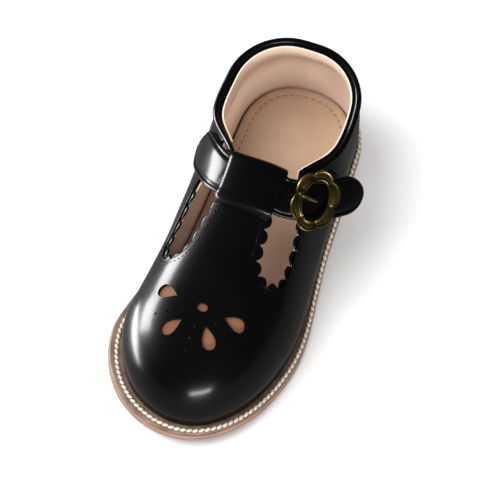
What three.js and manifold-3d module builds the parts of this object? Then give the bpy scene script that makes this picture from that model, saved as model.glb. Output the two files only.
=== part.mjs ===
// A child's T strap shoe for the left foot, in millimetres.
// +Z is up, +X points to the outer side of the foot, and -Y points to the toe.
// The origin is at the bottom centre of the bounding box.
import * as THREE from "three";
import Module from "manifold-3d";

const wasm = await Module();
wasm.setup();

// Sole
const soleLength = 146;
const ballWidth = 66;
const outsoleThickness = 4;
const weltThickness = 1.8;
const heelHeight = 8;
const toeSpring = 4.5;
const weltLedge = 4;
const waistLedge = 1.5;
const seamWidth = 8;
const grooveDepth = 0.5;
const insoleThickness = 2.2;

// Upper
const wallThickness = 1.8;
const instepHeight = 42;
const collarHeight = 38;
const heelLean = 4;
const strapWidthOfT = 19;
const openingReach = 29;
const scallopPitch = 5.4;
const scallopDepth = 2;
const teardropLength = 8.4;
const teardropWidth = 5.4;
const ovalLength = 3.9;
const ovalWidth = 3;
const patternReach = 12.2;

// Cross strap, its loop and its buckle
const strapWidth = 14;
const strapThickness = 1.8;
const strapReach = 31;
const loopThickness = 1.5;
const tailLength = 12;
const tabWidth = 9;
const tabLength = 20;
const tabThickness = 1.3;
const buckleGap = 10;
const buckleTurn = 0.4;
const buckleLength = 22;
const buckleWidth = 17.4;
const holeLength = 14.4;
const holeWidth = 8.8;
const buckleThickness = 1.8;
const petals = 6;
const petalDepth = 1.7;
const barRadius = 0.7;
const prongRadius = 0.75;
const clearance = 0.3;

// Fineness of the meshes
const sectionsAlong = 44;
const stepsAcross = 28;
const outlineSteps = 400;
const arcSteps = 48;

const heelEnd = soleLength / 2;
const footHeight = heelHeight + outsoleThickness + weltThickness;

// A smooth curve through a table's column, level at both ends of the table.
function smooth(rows, column) {
  const slopes = rows.map((row, i) => {
    if (i === 0 || i === rows.length - 1) return 0;
    const span = rows[i + 1].at - rows[i - 1].at;
    return (rows[i + 1][column] - rows[i - 1][column]) / span;
  });
  return (at) => {
    const last = rows.length - 1;
    if (at <= rows[0].at) return rows[0][column];
    if (at >= rows[last].at) return rows[last][column];
    let i = 0;
    while (at > rows[i + 1].at) i += 1;
    const span = rows[i + 1].at - rows[i].at;
    const u = (at - rows[i].at) / span;
    const rise = u * u * (3 - 2 * u);
    return (
      rows[i][column] * (1 - rise) +
      rows[i + 1][column] * rise +
      slopes[i] * span * u * (1 - u) * (1 - u) -
      slopes[i + 1] * span * u * u * (1 - u)
    );
  };
}

const easeBetween = (from, to, at) => {
  const u = Math.min(Math.max((at - from) / (to - from), 0), 1);
  return u * u * (3 - 2 * u);
};

// 1 before `from`, then a round fall to 0 at `to`.
const roundEnd = (from, to, at, power) => {
  const u = Math.min(Math.max((at - from) / (to - from), 0), 1);
  return Math.pow(Math.max(1 - Math.pow(u, power), 0), 1 / power);
};

// Places along the foot are shares of the length, from the heel's end to the toe's.
const alongFoot = (at) => heelEnd - at * soleLength;
const shareAt = (y) => (heelEnd - y) / soleLength;

// The sole's half widths before its ends are rounded, as shares of the ball width.
const outlineRows = [
  { at: 0.0, inner: 0.355, outer: 0.35 },
  { at: 0.15, inner: 0.362, outer: 0.36 },
  { at: 0.3, inner: 0.37, outer: 0.378 },
  { at: 0.42, inner: 0.39, outer: 0.386 },
  { at: 0.52, inner: 0.428, outer: 0.408 },
  { at: 0.62, inner: 0.49, outer: 0.437 },
  { at: 0.7, inner: 0.538, outer: 0.444 },
  { at: 0.77, inner: 0.563, outer: 0.441 },
  { at: 1.0, inner: 0.563, outer: 0.441 },
];
const innerHalf = smooth(outlineRows, "inner");
const outerHalf = smooth(outlineRows, "outer");
const toeTipShare = -0.06;
const heelRoundFrom = 0.165;
const innerToeFrom = 0.74;
const outerToeFrom = 0.66;

// The sole's outline seen from above, anticlockwise from the heel's end: inner side, toe, outer side.
function soleOutline() {
  const side = (half, toeFrom, sign) => (at) => {
    const tip = toeTipShare * ballWidth;
    const atHeel = roundEnd(-heelRoundFrom, 0, -at, 2.2);
    const atToe = roundEnd(toeFrom, 1, at, 2);
    const plain = sign * half(at) * ballWidth * atHeel;
    return atToe < 1 ? tip + (plain - tip) * atToe : plain;
  };
  const inner = side(innerHalf, innerToeFrom, -1);
  const outer = side(outerHalf, outerToeFrom, 1);
  const points = [];
  for (let i = 0; i < outlineSteps; i += 1) {
    const at = (1 - Math.cos((Math.PI * i) / outlineSteps)) / 2;
    points.push(new THREE.Vector2(inner(at), alongFoot(at)));
  }
  for (let i = outlineSteps; i > 0; i -= 1) {
    const at = (1 - Math.cos((Math.PI * i) / outlineSteps)) / 2;
    points.push(new THREE.Vector2(outer(at), alongFoot(at)));
  }
  return points;
}

// Moves a closed anticlockwise outline inwards by an amount that depends on the place along the foot.
function inset(points, amount) {
  const count = points.length;
  return points.map((point, i) => {
    const before = points[(i + count - 2) % count];
    const after = points[(i + 2) % count];
    const along = after.clone().sub(before).normalize();
    const inward = new THREE.Vector2(-along.y, along.x);
    return point.clone().addScaledVector(inward, amount(shareAt(point.y)));
  });
}

// The same outline with evenly spaced points.
function evenly(points, count) {
  const lengths = [0];
  points.forEach((point, i) => {
    lengths.push(lengths[i] + point.distanceTo(points[(i + 1) % points.length]));
  });
  const total = lengths[points.length];
  const result = [];
  let i = 0;
  for (let k = 0; k < count; k += 1) {
    const target = (total * k) / count;
    while (lengths[i + 1] < target) i += 1;
    const u = (target - lengths[i]) / (lengths[i + 1] - lengths[i]);
    result.push(points[i].clone().lerp(points[(i + 1) % points.length], u));
  }
  return result;
}

// The x of each side of an outline at a place along the foot.
function sidesOf(points) {
  const half = points.length / 2;
  const innerSide = points.slice(0, half + 1);
  const outerSide = [points[0], ...points.slice(half).reverse()];
  const lookUp = (side) => (y) => {
    if (y >= side[0].y) return side[0].x;
    let low = 0;
    let high = side.length - 1;
    if (y <= side[high].y) return side[high].x;
    while (high - low > 1) {
      const middle = (low + high) >> 1;
      if (side[middle].y > y) low = middle;
      else high = middle;
    }
    const u = (side[low].y - y) / (side[low].y - side[high].y);
    return side[low].x + u * (side[high].x - side[low].x);
  };
  return {
    inner: lookUp(innerSide),
    outer: lookUp(outerSide),
    heel: points[0].y,
    toe: points[half].y,
  };
}

const soleEdge = soleOutline();

// The ledge grows from the waist's to the forefoot's, where the upper also stands a little outwards on it.
const ledgeRows = [
  { at: 0.0, ledge: 0, shift: 0 },
  { at: 0.42, ledge: 0, shift: 0 },
  { at: 0.72, ledge: 1, shift: 0.25 },
  { at: 1.0, ledge: 1, shift: 0.25 },
];
const ledgeShare = smooth(ledgeRows, "ledge");
const shiftShare = smooth(ledgeRows, "shift");
const ledge = (at) => waistLedge + (weltLedge - waistLedge) * ledgeShare(at);

// The outline at a distance inside the upper's bottom edge.
function featherEdge(depth) {
  const edge = inset(soleEdge, (at) => ledge(at) + depth);
  edge.forEach((point) => {
    point.x += weltLedge * shiftShare(shareAt(point.y));
  });
  return edge;
}

// Height of the line where the upper meets the sole: heel, arch, ball, toe spring.
const archFrom = 0.22;
const ballFrom = 0.6;
const springFrom = 0.7;
function featherHeight(at) {
  const fall = heelHeight * easeBetween(archFrom, ballFrom, at);
  const spring = Math.max((at - springFrom) / (1 - springFrom), 0);
  return footHeight - fall + toeSpring * Math.pow(spring, 1.8);
}

// Crown of the last above the feather line, as shares of the instep height, and how full its section is.
const crownRows = [
  { at: 0.0, rise: 1.58, fullness: 3.2 },
  { at: 0.155, rise: 1.58, fullness: 3.2 },
  { at: 0.26, rise: 1.27, fullness: 2.95 },
  { at: 0.33, rise: 1.04, fullness: 2.55 },
  { at: 0.4, rise: 1.01, fullness: 2.35 },
  { at: 0.45, rise: 1.0, fullness: 2.3 },
  { at: 0.51, rise: 0.975, fullness: 2.3 },
  { at: 0.6, rise: 0.885, fullness: 2.3 },
  { at: 0.7, rise: 0.775, fullness: 2.3 },
  { at: 0.82, rise: 0.69, fullness: 2.35 },
  { at: 1.0, rise: 0.68, fullness: 2.4 },
];
const crownRise = smooth(crownRows, "rise");
const crownFullness = smooth(crownRows, "fullness");
const toeCapFrom = 0.76;
const heelCapFrom = 0.18;

// Where the crown runs, as shares of the ball width.
const ridgeRows = [
  { at: 0.0, ridge: 0.0 },
  { at: 0.2, ridge: 0.0 },
  { at: 0.34, ridge: -0.02 },
  { at: 0.45, ridge: -0.018 },
  { at: 0.6, ridge: -0.05 },
  { at: 0.78, ridge: -0.062 },
  { at: 1.0, ridge: -0.045 },
];
const ridgeShare = smooth(ridgeRows, "ridge");

const tipMargin = 1e-6;

// How far each side swells over the feather line, as shares of the ball width.
const swellRows = [
  { at: 0.0, inner: 0.0, outer: 0.0 },
  { at: 0.16, inner: 0.02, outer: 0.01 },
  { at: 0.3, inner: 0.054, outer: 0.012 },
  { at: 0.46, inner: 0.056, outer: 0.012 },
  { at: 0.62, inner: 0.032, outer: 0.012 },
  { at: 0.8, inner: 0.014, outer: 0.012 },
  { at: 1.0, inner: 0.0, outer: 0.0 },
];
const innerSwell = smooth(swellRows, "inner");
const outerSwell = smooth(swellRows, "outer");

// One of the upper's two surfaces: `depth` is how far it lies under the outer one.
function lastSurface(depth) {
  const sides = sidesOf(featherEdge(depth));
  const toeEnd = shareAt(sides.toe);
  const heelStart = shareAt(sides.heel);
  const crown = (y) => {
    const at = shareAt(y);
    const overToe = roundEnd(toeCapFrom, toeEnd, at, 2.2);
    const overHeel = roundEnd(-heelCapFrom, -heelStart, -at, 3);
    return (crownRise(at) * instepHeight - depth) * overToe * overHeel;
  };
  // The section at y, from the inner feather edge over the crown to the outer one.
  const section = (y, steps) => {
    const at = shareAt(y);
    const ridge = ridgeShare(at) * ballWidth;
    const power = 2 / crownFullness(at);
    const base = featherHeight(at);
    const height = crown(y);
    const isTip = y > sides.heel - tipMargin || y < sides.toe + tipMargin;
    const innerReach = isTip ? 0 : ridge - sides.inner(y);
    const outerReach = isTip ? 0 : sides.outer(y) - ridge;
    const points = [];
    for (let k = 0; k <= steps; k += 1) {
      const turn = (Math.PI * k) / steps;
      const across = -Math.sign(Math.cos(turn)) * Math.pow(Math.abs(Math.cos(turn)), power);
      const up = Math.pow(Math.sin(turn), power);
      const isInner = k * 2 < steps;
      const reach = isInner ? innerReach : outerReach;
      const swell = (isInner ? -innerSwell(at) : outerSwell(at)) * ballWidth;
      const isEdge = isTip || k === 0 || k === steps;
      const share = isEdge ? 0 : up;
      const x = ridge + across * reach + swell * 4 * share * (1 - share);
      const z = base + height * share;
      points.push(new THREE.Vector3(x, y + lean(y, z), z));
    }
    return points;
  };
  return { sides, section };
}

// The back of the heel swells out low down and leans in at the collar.
const leanFrom = 0.3;
function lean(y, z) {
  const weight = 1 - easeBetween(0.02, leanFrom, shareAt(y));
  const u = Math.max((z - footHeight) / collarHeight, 0);
  const bend = 1.44 * u * (1 - u) - u * u;
  return weight * heelLean * Math.max(bend, -1.6);
}

// Closed surfaces, cuts and joins
function solidOf(points, triangles) {
  const keys = new Map();
  const kept = [];
  const index = points.map((point) => {
    const key = [point.x, point.y, point.z].map((value) => Math.round(value * 1e4)).join(" ");
    if (!keys.has(key)) {
      keys.set(key, kept.length / 3);
      kept.push(point.x, point.y, point.z);
    }
    return keys.get(key);
  });
  const faces = [];
  for (const [a, b, c] of triangles) {
    const face = [index[a], index[b], index[c]];
    if (new Set(face).size === 3) faces.push(...face);
  }
  const mesh = new wasm.Mesh({
    numProp: 3,
    vertProperties: new Float32Array(kept),
    triVerts: new Uint32Array(faces),
  });
  const solid = new wasm.Manifold(mesh);
  if (solid.volume() >= 0) return solid;
  for (let i = 0; i < faces.length; i += 3) {
    [faces[i + 1], faces[i + 2]] = [faces[i + 2], faces[i + 1]];
  }
  mesh.triVerts = new Uint32Array(faces);
  return new wasm.Manifold(mesh);
}

// A solid through closed loops of equal length, with flat ends or closed on itself.
function loft(loops, closed) {
  const count = loops[0].length;
  const points = loops.flat();
  const triangles = [];
  const spans = closed ? loops.length : loops.length - 1;
  for (let row = 0; row < spans; row += 1) {
    const here = row * count;
    const next = ((row + 1) % loops.length) * count;
    for (let i = 0; i < count; i += 1) {
      const j = (i + 1) % count;
      triangles.push([here + i, here + j, next + j], [here + i, next + j, next + i]);
    }
  }
  if (!closed) {
    const endRow = (loops.length - 1) * count;
    for (const [a, b, c] of capOf(loops[0])) triangles.push([a, c, b]);
    for (const [a, b, c] of capOf(loops[loops.length - 1])) {
      triangles.push([endRow + a, endRow + b, endRow + c]);
    }
  }
  return solidOf(points, triangles);
}

// Triangles that fill a loop, cut in the plane that it faces most.
function capOf(loop) {
  const normal = new THREE.Vector3();
  loop.forEach((point, i) => {
    const next = loop[(i + 1) % loop.length];
    normal.add(new THREE.Vector3().crossVectors(point, next));
  });
  normal.normalize();
  const seed = Math.abs(normal.z) < 0.7 ? new THREE.Vector3(0, 0, 1) : new THREE.Vector3(1, 0, 0);
  const right = new THREE.Vector3().crossVectors(seed, normal).normalize();
  const up = new THREE.Vector3().crossVectors(normal, right);
  const flat = loop.map((point) => new THREE.Vector2(point.dot(right), point.dot(up)));
  return THREE.ShapeUtils.triangulateShape(flat, []);
}

// The sole's outline at a height that follows the foot.
const ring = (points, height) =>
  points.map((point) => new THREE.Vector3(point.x, point.y, height(shareAt(point.y))));

// Outsole: a slab that follows the foot, its grooved side, and a low heel
const weltTop = (at) => featherHeight(at);
const weltBottom = (at) => featherHeight(at) - weltThickness;
const slabTop = (at) => weltBottom(at) - clearance;
const slabBottom = (at) => Math.max(featherHeight(at) - weltThickness - outsoleThickness, 0);
const sideRows = [
  { up: 0.0, in: 1.0 },
  { up: 0.16, in: 0.25 },
  { up: 0.5, in: 0.0 },
  { up: 0.55, in: 1.0 },
  { up: 0.62, in: 1.0 },
  { up: 0.67, in: 0.0 },
  { up: 0.9, in: 0.0 },
  { up: 1.0, in: 1.2 },
];
const outlinePoints = 80;
const heelBreast = 0.29;

function slabRing(insetBy, up) {
  const edge = evenly(inset(soleEdge, () => insetBy), outlinePoints);
  return ring(edge, (at) => slabBottom(at) + (slabTop(at) - slabBottom(at)) * up);
}

// Fills the inside of a ring of outline points with strips across the foot, so that it bends along it.
function stripsAcross(count) {
  const triangles = [];
  for (let i = 0; i < count / 2; i += 1) {
    const a = i;
    const b = i + 1;
    const c = (count - i - 1) % count;
    const d = (count - i) % count;
    triangles.push([a, b, c], [a, c, d]);
  }
  return triangles;
}

function slabOf(rings) {
  const count = rings[0].length;
  const triangles = [];
  for (let row = 0; row < rings.length - 1; row += 1) {
    for (let i = 0; i < count; i += 1) {
      const j = (i + 1) % count;
      const here = row * count;
      const next = here + count;
      triangles.push([here + i, here + j, next + j], [here + i, next + j, next + i]);
    }
  }
  const top = (rings.length - 1) * count;
  for (const [a, b, c] of stripsAcross(count)) {
    triangles.push([a, c, b], [top + a, top + b, top + c]);
  }
  return solidOf(rings.flat(), triangles);
}

function makeOutsole() {
  const slab = slabOf(sideRows.map((row) => slabRing(row.in * grooveDepth, row.up)));
  const sides = sidesOf(inset(soleEdge, () => 2 * grooveDepth));
  const breast = alongFoot(heelBreast);
  const heelTop = slabBottom(heelBreast) + outsoleThickness / 2;
  const steps = 16;
  const innerEdge = [];
  const outerEdge = [];
  for (let i = 0; i <= steps; i += 1) {
    const y = sides.heel + (breast - sides.heel) * (1 - Math.cos((Math.PI * i) / steps / 2));
    innerEdge.push([sides.inner(y), y]);
    if (i > 0) outerEdge.unshift([sides.outer(y), y]);
  }
  const outline = [...innerEdge, ...outerEdge];
  const level = (z) => outline.map(([x, y]) => new THREE.Vector3(x, y, z));
  return slab.add(loft([level(0), level(heelTop)], false));
}

// Welt: the ledge that carries the stitches
function makeWelt() {
  const outer = evenly(inset(soleEdge, () => grooveDepth), outlinePoints);
  const inner = evenly(featherEdge(seamWidth), outlinePoints);
  const bevel = evenly(inset(soleEdge, () => 2 * grooveDepth), outlinePoints);
  const middle = (at) => weltTop(at) - 2 * grooveDepth;
  return loft(
    [
      ring(outer, weltBottom),
      ring(outer, middle),
      ring(bevel, (at) => weltTop(at) - clearance),
      ring(inner, (at) => weltTop(at) - clearance),
      ring(inner, weltBottom),
    ],
    true,
  );
}

// Insole: closes the inside of the upper
function makeInsole() {
  const ease = insoleThickness / 5;
  const gap = wallThickness + clearance + ease;
  const edge = evenly(featherEdge(gap), outlinePoints);
  const rim = evenly(featherEdge(gap + ease), outlinePoints);
  const top = (at) => featherHeight(at) + insoleThickness;
  return slabOf([
    ring(edge, (at) => featherHeight(at)),
    ring(edge, (at) => top(at) - ease),
    ring(rim, top),
  ]);
}

// Upper: the last's own surface as a wall, with the collar and the openings cut out of it
const outerSurface = lastSurface(0);
const innerSurface = lastSurface(wallThickness);

function surfaceRows(surface) {
  const { toe, heel } = surface.sides;
  const rows = [];
  for (let j = 0; j <= sectionsAlong; j += 1) {
    const even = j / sectionsAlong;
    const eased = (1 - Math.cos(Math.PI * even)) / 2;
    const share = even * 0.1 + eased * 0.9;
    rows.push(surface.section(heel + (toe - heel) * share, stepsAcross));
  }
  return rows;
}

function makeShell() {
  const outer = surfaceRows(outerSurface);
  const inner = surfaceRows(innerSurface);
  const width = stepsAcross + 1;
  const innerStart = outer.length * width;
  const points = [...outer.flat(), ...inner.flat()];
  const triangles = [];
  for (let j = 0; j < sectionsAlong; j += 1) {
    for (let k = 0; k < stepsAcross; k += 1) {
      const a = j * width + k;
      const b = a + width;
      triangles.push([a, a + 1, b + 1], [a, b + 1, b]);
      const c = innerStart + a;
      const d = innerStart + b;
      triangles.push([c, d + 1, c + 1], [c, d, d + 1]);
    }
    for (const k of [0, stepsAcross]) {
      const a = j * width + k;
      const b = a + width;
      const c = innerStart + a;
      const d = innerStart + b;
      if (k === 0) triangles.push([a, b, d], [a, d, c]);
      else triangles.push([a, d, b], [a, c, d]);
    }
  }
  return solidOf(points, triangles);
}

// A point of the upper, from its place y along the foot and its distance over the section from the crown.
const sectionCache = new Map();
function sectionAt(y) {
  const key = Math.round(y * 1e3);
  if (!sectionCache.has(key)) {
    const points = outerSurface.section(y, 2 * arcSteps);
    const lengths = [0];
    for (let i = 1; i < points.length; i += 1) {
      lengths.push(lengths[i - 1] + points[i].distanceTo(points[i - 1]));
    }
    sectionCache.set(key, { points, lengths, crown: lengths[arcSteps] });
  }
  return sectionCache.get(key);
}

function surfacePoint(y, across) {
  const { points, lengths, crown } = sectionAt(y);
  const target = Math.min(Math.max(crown + across, 0), lengths[lengths.length - 1]);
  let low = 0;
  let high = lengths.length - 1;
  while (high - low > 1) {
    const middle = (low + high) >> 1;
    if (lengths[middle] < target) low = middle;
    else high = middle;
  }
  const u = (target - lengths[low]) / (lengths[high] - lengths[low]);
  return points[low].clone().lerp(points[high], u);
}

function surfaceNormal(y, across) {
  const side = surfacePoint(y, across + 1).sub(surfacePoint(y, across - 1));
  const forward = surfacePoint(y - 1, across).sub(surfacePoint(y + 1, across));
  return new THREE.Vector3().crossVectors(forward, side).normalize();
}

const onUpper = (y, across, lift) =>
  surfacePoint(y, across).addScaledVector(surfaceNormal(y, across), lift);

// A cutter that goes straight through the wall along an outline on the upper.
const cutReach = 2.5 * wallThickness;
function cutterThrough(outline) {
  const under = outline.map(([y, across]) => onUpper(y, across, -cutReach));
  const over = outline.map(([y, across]) => onUpper(y, across, cutReach));
  return loft([under, over], false);
}

// Collar: everything above this line is open, as shares of the collar height
const collarRows = [
  { at: -0.1, inner: 1.0, outer: 1.0 },
  { at: 0.04, inner: 1.0, outer: 1.0 },
  { at: 0.14, inner: 0.955, outer: 0.955 },
  { at: 0.22, inner: 0.905, outer: 0.885 },
  { at: 0.3, inner: 0.905, outer: 0.865 },
  { at: 0.37, inner: 0.97, outer: 0.885 },
  { at: 0.44, inner: 1.02, outer: 0.93 },
];
const innerCollar = smooth(collarRows, "inner");
const outerCollar = smooth(collarRows, "outer");
const strapPlace = alongFoot(0.45);
const tongueEnd = strapPlace + strapWidth / 2 + loopThickness + clearance;

function makeCollarCutter() {
  const steps = 26;
  const from = heelEnd + 2 * heelLean;
  const reach = 0.55 * ballWidth;
  const loops = [-reach, reach].map((x) => {
    const share = x < 0 ? innerCollar : outerCollar;
    const top = footHeight + 2 * instepHeight;
    const line = [];
    for (let i = 0; i <= steps; i += 1) {
      const y = from + ((tongueEnd - from) * i) / steps;
      line.push(new THREE.Vector3(x, y, footHeight + collarHeight * share(shareAt(y))));
    }
    return [new THREE.Vector3(x, from, top), ...line, new THREE.Vector3(x, tongueEnd, top)];
  });
  return loft(loops, false);
}

// Side openings: the middle line's distance from the crown and the half width, in shares of the
// T strap's width, at places that are shares of the opening's length.
const openingFront = strapPlace - openingReach;
const openingRear = strapPlace + strapWidth + 2 * clearance;
const openingRound = 0.2;
const sideOpenings = {
  inner: [
    { at: 0.0, middle: 1.06, half: 0.4 },
    { at: 0.2, middle: 1.04, half: 0.42 },
    { at: 0.45, middle: 0.98, half: 0.46 },
    { at: 0.62, middle: 0.94, half: 0.44 },
    { at: 0.8, middle: 0.83, half: 0.34 },
    { at: 1.0, middle: 0.73, half: 0.26 },
  ],
  outer: [
    { at: 0.0, middle: 1.0, half: 0.4 },
    { at: 0.2, middle: 0.98, half: 0.4 },
    { at: 0.45, middle: 0.91, half: 0.42 },
    { at: 0.62, middle: 0.83, half: 0.36 },
    { at: 0.8, middle: 0.65, half: 0.2 },
    { at: 1.0, middle: 0.6, half: 0.16 },
  ],
};

// Round lobes of leather along an edge, each bulging by the scallop's depth to the right of the edge.
function scalloped(edge, lobes) {
  const curve = new THREE.CatmullRomCurve3(edge.map(([y, across]) => new THREE.Vector3(y, across, 0)));
  const steps = 5;
  const points = [];
  for (let lobe = 0; lobe < lobes; lobe += 1) {
    for (let i = 0; i < steps; i += 1) {
      const u = (lobe + i / steps) / lobes;
      const point = curve.getPointAt(u);
      const along = curve.getTangentAt(u);
      const swell = scallopDepth * Math.sqrt(Math.sin((Math.PI * i) / steps));
      points.push([point.x + along.y * swell, point.y - along.x * swell]);
    }
  }
  return points;
}

// The scalloped edge ends under the cross strap; behind it the opening runs plain into the collar.
const scallopRear = strapPlace - strapWidth / 2 + scallopPitch;
function openingOutline(side) {
  const sign = side === "inner" ? -1 : 1;
  const rows = sideOpenings[side];
  const middle = smooth(rows, "middle");
  const half = smooth(rows, "half");
  const span = openingRear - openingFront;
  // edge is -1 beside the T strap and 1 at the quarter
  const edgePoint = (share, edge) => {
    const width = half(share) * roundEnd(-openingRound, 0, -share, 2);
    return [openingFront + share * span, sign * (middle(share) + edge * width) * strapWidthOfT];
  };
  const scallopShare = (scallopRear - openingFront) / span;
  const steps = 16;
  const edge = [];
  for (let i = -steps; i <= steps; i += 1) {
    const share = scallopShare * Math.pow(Math.abs(i) / steps, 2);
    edge.push(edgePoint(share, Math.sign(i)));
  }
  let length = 0;
  for (let i = 1; i < edge.length; i += 1) {
    length += Math.hypot(edge[i][0] - edge[i - 1][0], edge[i][1] - edge[i - 1][1]);
  }
  const ordered = sign > 0 ? edge : edge.slice().reverse();
  const lobed = scalloped(ordered, Math.round(length / scallopPitch));
  const rearSteps = 6;
  const rear = (edgeSide) => {
    const points = [];
    for (let i = 1; i <= rearSteps; i += 1) {
      const share = scallopShare + ((1 - scallopShare) * i) / rearSteps;
      points.push(edgePoint(share, edgeSide));
    }
    return points;
  };
  const last = ordered[ordered.length - 1];
  return [...rear(-sign).reverse(), ...lobed, last, ...rear(sign)];
}

// Teardrops that fan out from the oval: the direction of each, and its distance as a share of the reach
const patternPlace = 0.75;
const patternTurn = -0.14;
const teardropRows = [
  { turn: -1.62, reach: 1.17 },
  { turn: -0.6, reach: 0.98 },
  { turn: 0.66, reach: 0.89 },
  { turn: 1.62, reach: 1.02 },
];

function teardropOutline() {
  const points = [];
  const steps = 18;
  for (let i = 0; i < steps; i += 1) {
    const turn = (2 * Math.PI * i) / steps;
    const along = (-Math.cos(turn) * teardropLength) / 2;
    const round = Math.sin(turn) * Math.pow(Math.sin(turn / 2), 1.3);
    points.push([along, (round * teardropWidth) / 1.6]);
  }
  return points;
}

function ovalOutline() {
  const points = [];
  const steps = 16;
  for (let i = 0; i < steps; i += 1) {
    const turn = (2 * Math.PI * i) / steps;
    points.push([(Math.cos(turn) * ovalWidth) / 2, (Math.sin(turn) * ovalLength) / 2]);
  }
  return points;
}

// Places an outline on the vamp: it is turned about the oval and moved out from it.
function onVamp(outline, turn, reach) {
  const centre = alongFoot(patternPlace);
  const angle = turn + patternTurn;
  return outline.map(([along, side]) => {
    const out = reach + along;
    const y = centre - out * Math.cos(angle) + side * Math.sin(angle);
    const across = out * Math.sin(angle) + side * Math.cos(angle);
    return [y, across];
  });
}

function makeUpper() {
  let upper = makeShell();
  upper = upper.subtract(makeCollarCutter());
  for (const side of ["inner", "outer"]) {
    upper = upper.subtract(cutterThrough(openingOutline(side)));
  }
  for (const row of teardropRows) {
    const outline = onVamp(teardropOutline(), row.turn, row.reach * patternReach);
    upper = upper.subtract(cutterThrough(outline));
  }
  upper = upper.subtract(cutterThrough(onVamp(ovalOutline(), 0, 0)));
  return upper;
}

// Cross strap: a band laid over the last, from the inner quarter to its free tail
const loopHalf = strapWidthOfT / 2;
const buckleAt = loopHalf + buckleGap;

// Inwards from the crown: how far the strap runs back to the quarter, as shares of its reach.
const innerStrapRows = [
  { at: 0.0, back: 0.0 },
  { at: 0.39, back: 0.065 },
  { at: 0.68, back: 0.26 },
  { at: 0.94, back: 0.5 },
  { at: 1.16, back: 0.71 },
];

// Outwards from the strap loop: how far the strap runs back, and how far it leaves the upper outwards
// and upwards on its way to the buckle, as shares of the buckle's gap from the loop.
const outerStrapRows = [
  { at: 0.1, back: 0.0, out: 0.0, rise: 0.0 },
  { at: 0.4, back: 0.041, out: 0.075, rise: 0.085 },
  { at: 0.7, back: 0.157, out: 0.2, rise: 0.19 },
  { at: 1.0, back: 0.335, out: 0.32, rise: 0.28 },
  { at: 1.65, back: 0.82, out: 0.64, rise: 0.44 },
  { at: 2.45, back: 1.75, out: 1.22, rise: 0.75 },
];
const innerBack = smooth(innerStrapRows, "back");
const outerBack = smooth(outerStrapRows, "back");
const outShare = smooth(outerStrapRows, "out");
const riseShare = smooth(outerStrapRows, "rise");
const pastLoop = (across) => (across - loopHalf) / buckleGap;
const strapOut = (across) => buckleGap * outShare(pastLoop(across));
const strapRise = (across) => buckleGap * riseShare(pastLoop(across));
const strapAlong = (across) =>
  strapPlace + strapReach * innerBack(-across / strapReach) + buckleGap * outerBack(pastLoop(across));

// The strap's frame at a distance from the crown: its middle, its direction, its width and its normal.
function strapFrame(across) {
  const middle = (at) => {
    const point = onUpper(strapAlong(at), at, clearance);
    point.x += strapOut(at);
    point.z += strapRise(at);
    return point;
  };
  const origin = middle(across);
  const along = middle(across + 0.5).sub(middle(across - 0.5)).normalize();
  const up = surfaceNormal(strapAlong(across), across);
  up.addScaledVector(along, -up.dot(along)).normalize();
  const side = new THREE.Vector3().crossVectors(up, along).normalize();
  return { origin, along, side, up };
}

const inFrame = (frame, along, side, up) =>
  frame.origin
    .clone()
    .addScaledVector(frame.along, along)
    .addScaledVector(frame.side, side)
    .addScaledVector(frame.up, up);

const tailFrom = buckleAt + buckleWidth / 3;
const strapSteps = 34;
const tailSteps = 9;
const tailDroop = 0.012;

// A band's cross section: flat underneath, its upper edges eased.
function bandLoop(frame, along, halfWidth, from, thickness, droop) {
  const ease = thickness / 4;
  const corners = [
    [-halfWidth, from],
    [halfWidth, from],
    [halfWidth, from + thickness - ease],
    [halfWidth - ease, from + thickness],
    [-halfWidth + ease, from + thickness],
    [-halfWidth, from + thickness - ease],
  ];
  return corners.map(([side, up]) => inFrame(frame, along, side, up - droop));
}

function crossStrapLoops() {
  const loops = [];
  for (let i = 0; i <= strapSteps; i += 1) {
    const across = -strapReach + ((tailFrom + strapReach) * i) / strapSteps;
    const round = roundEnd(-0.78, -1.06, across / strapReach, 2.4);
    loops.push(bandLoop(strapFrame(across), 0, (strapWidth / 2) * round, 0, strapThickness, 0));
  }
  const frame = strapFrame(tailFrom);
  for (let i = 1; i <= tailSteps; i += 1) {
    const along = tailLength * Math.sin((Math.PI * i) / tailSteps / 2);
    const round = roundEnd(0.35, 1.02, along / tailLength, 2);
    const droop = tailDroop * along * along;
    loops.push(bandLoop(frame, along, (strapWidth / 2) * round, 0, strapThickness, droop));
  }
  return loops;
}
const strapLoops = crossStrapLoops();
const makeCrossStrap = () => loft(strapLoops, false);

// Strap loop: the T strap's end, turned over the cross strap at the back and sewn down in front of it
const loopSteps = 10;
function makeStrapLoop() {
  const thick = loopThickness;
  const over = clearance + strapThickness + clearance;
  const front = -strapWidth / 2 - 0.75 * thick;
  const back = strapWidth / 2 + clearance;
  const path = [
    [front - thick, clearance, clearance + 0.35 * thick],
    [front - 0.65 * thick, clearance, clearance + thick],
    [front - 0.15 * thick, clearance, over + 0.5 * thick],
    [front + 0.6 * thick, over, over + thick],
    [0, over, over + thick],
    [back - 0.4 * thick, over, over + thick],
    [back, over - 0.35 * thick, over + 0.85 * thick],
    [back + 0.5 * thick, over - 0.65 * thick, over + 0.4 * thick],
    [back + thick, clearance + 0.2 * thick, clearance + 0.55 * thick],
  ];
  const loops = [];
  for (let i = 0; i <= loopSteps; i += 1) {
    const across = -loopHalf + (2 * loopHalf * i) / loopSteps;
    const along = strapAlong(across);
    const outer = path.map(([y, , top]) => onUpper(along + y, across, top));
    const inner = path.map(([y, bottom]) => onUpper(along + y, across, bottom));
    loops.push([...outer, ...inner.reverse()]);
  }
  return loft(loops, false);
}

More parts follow.
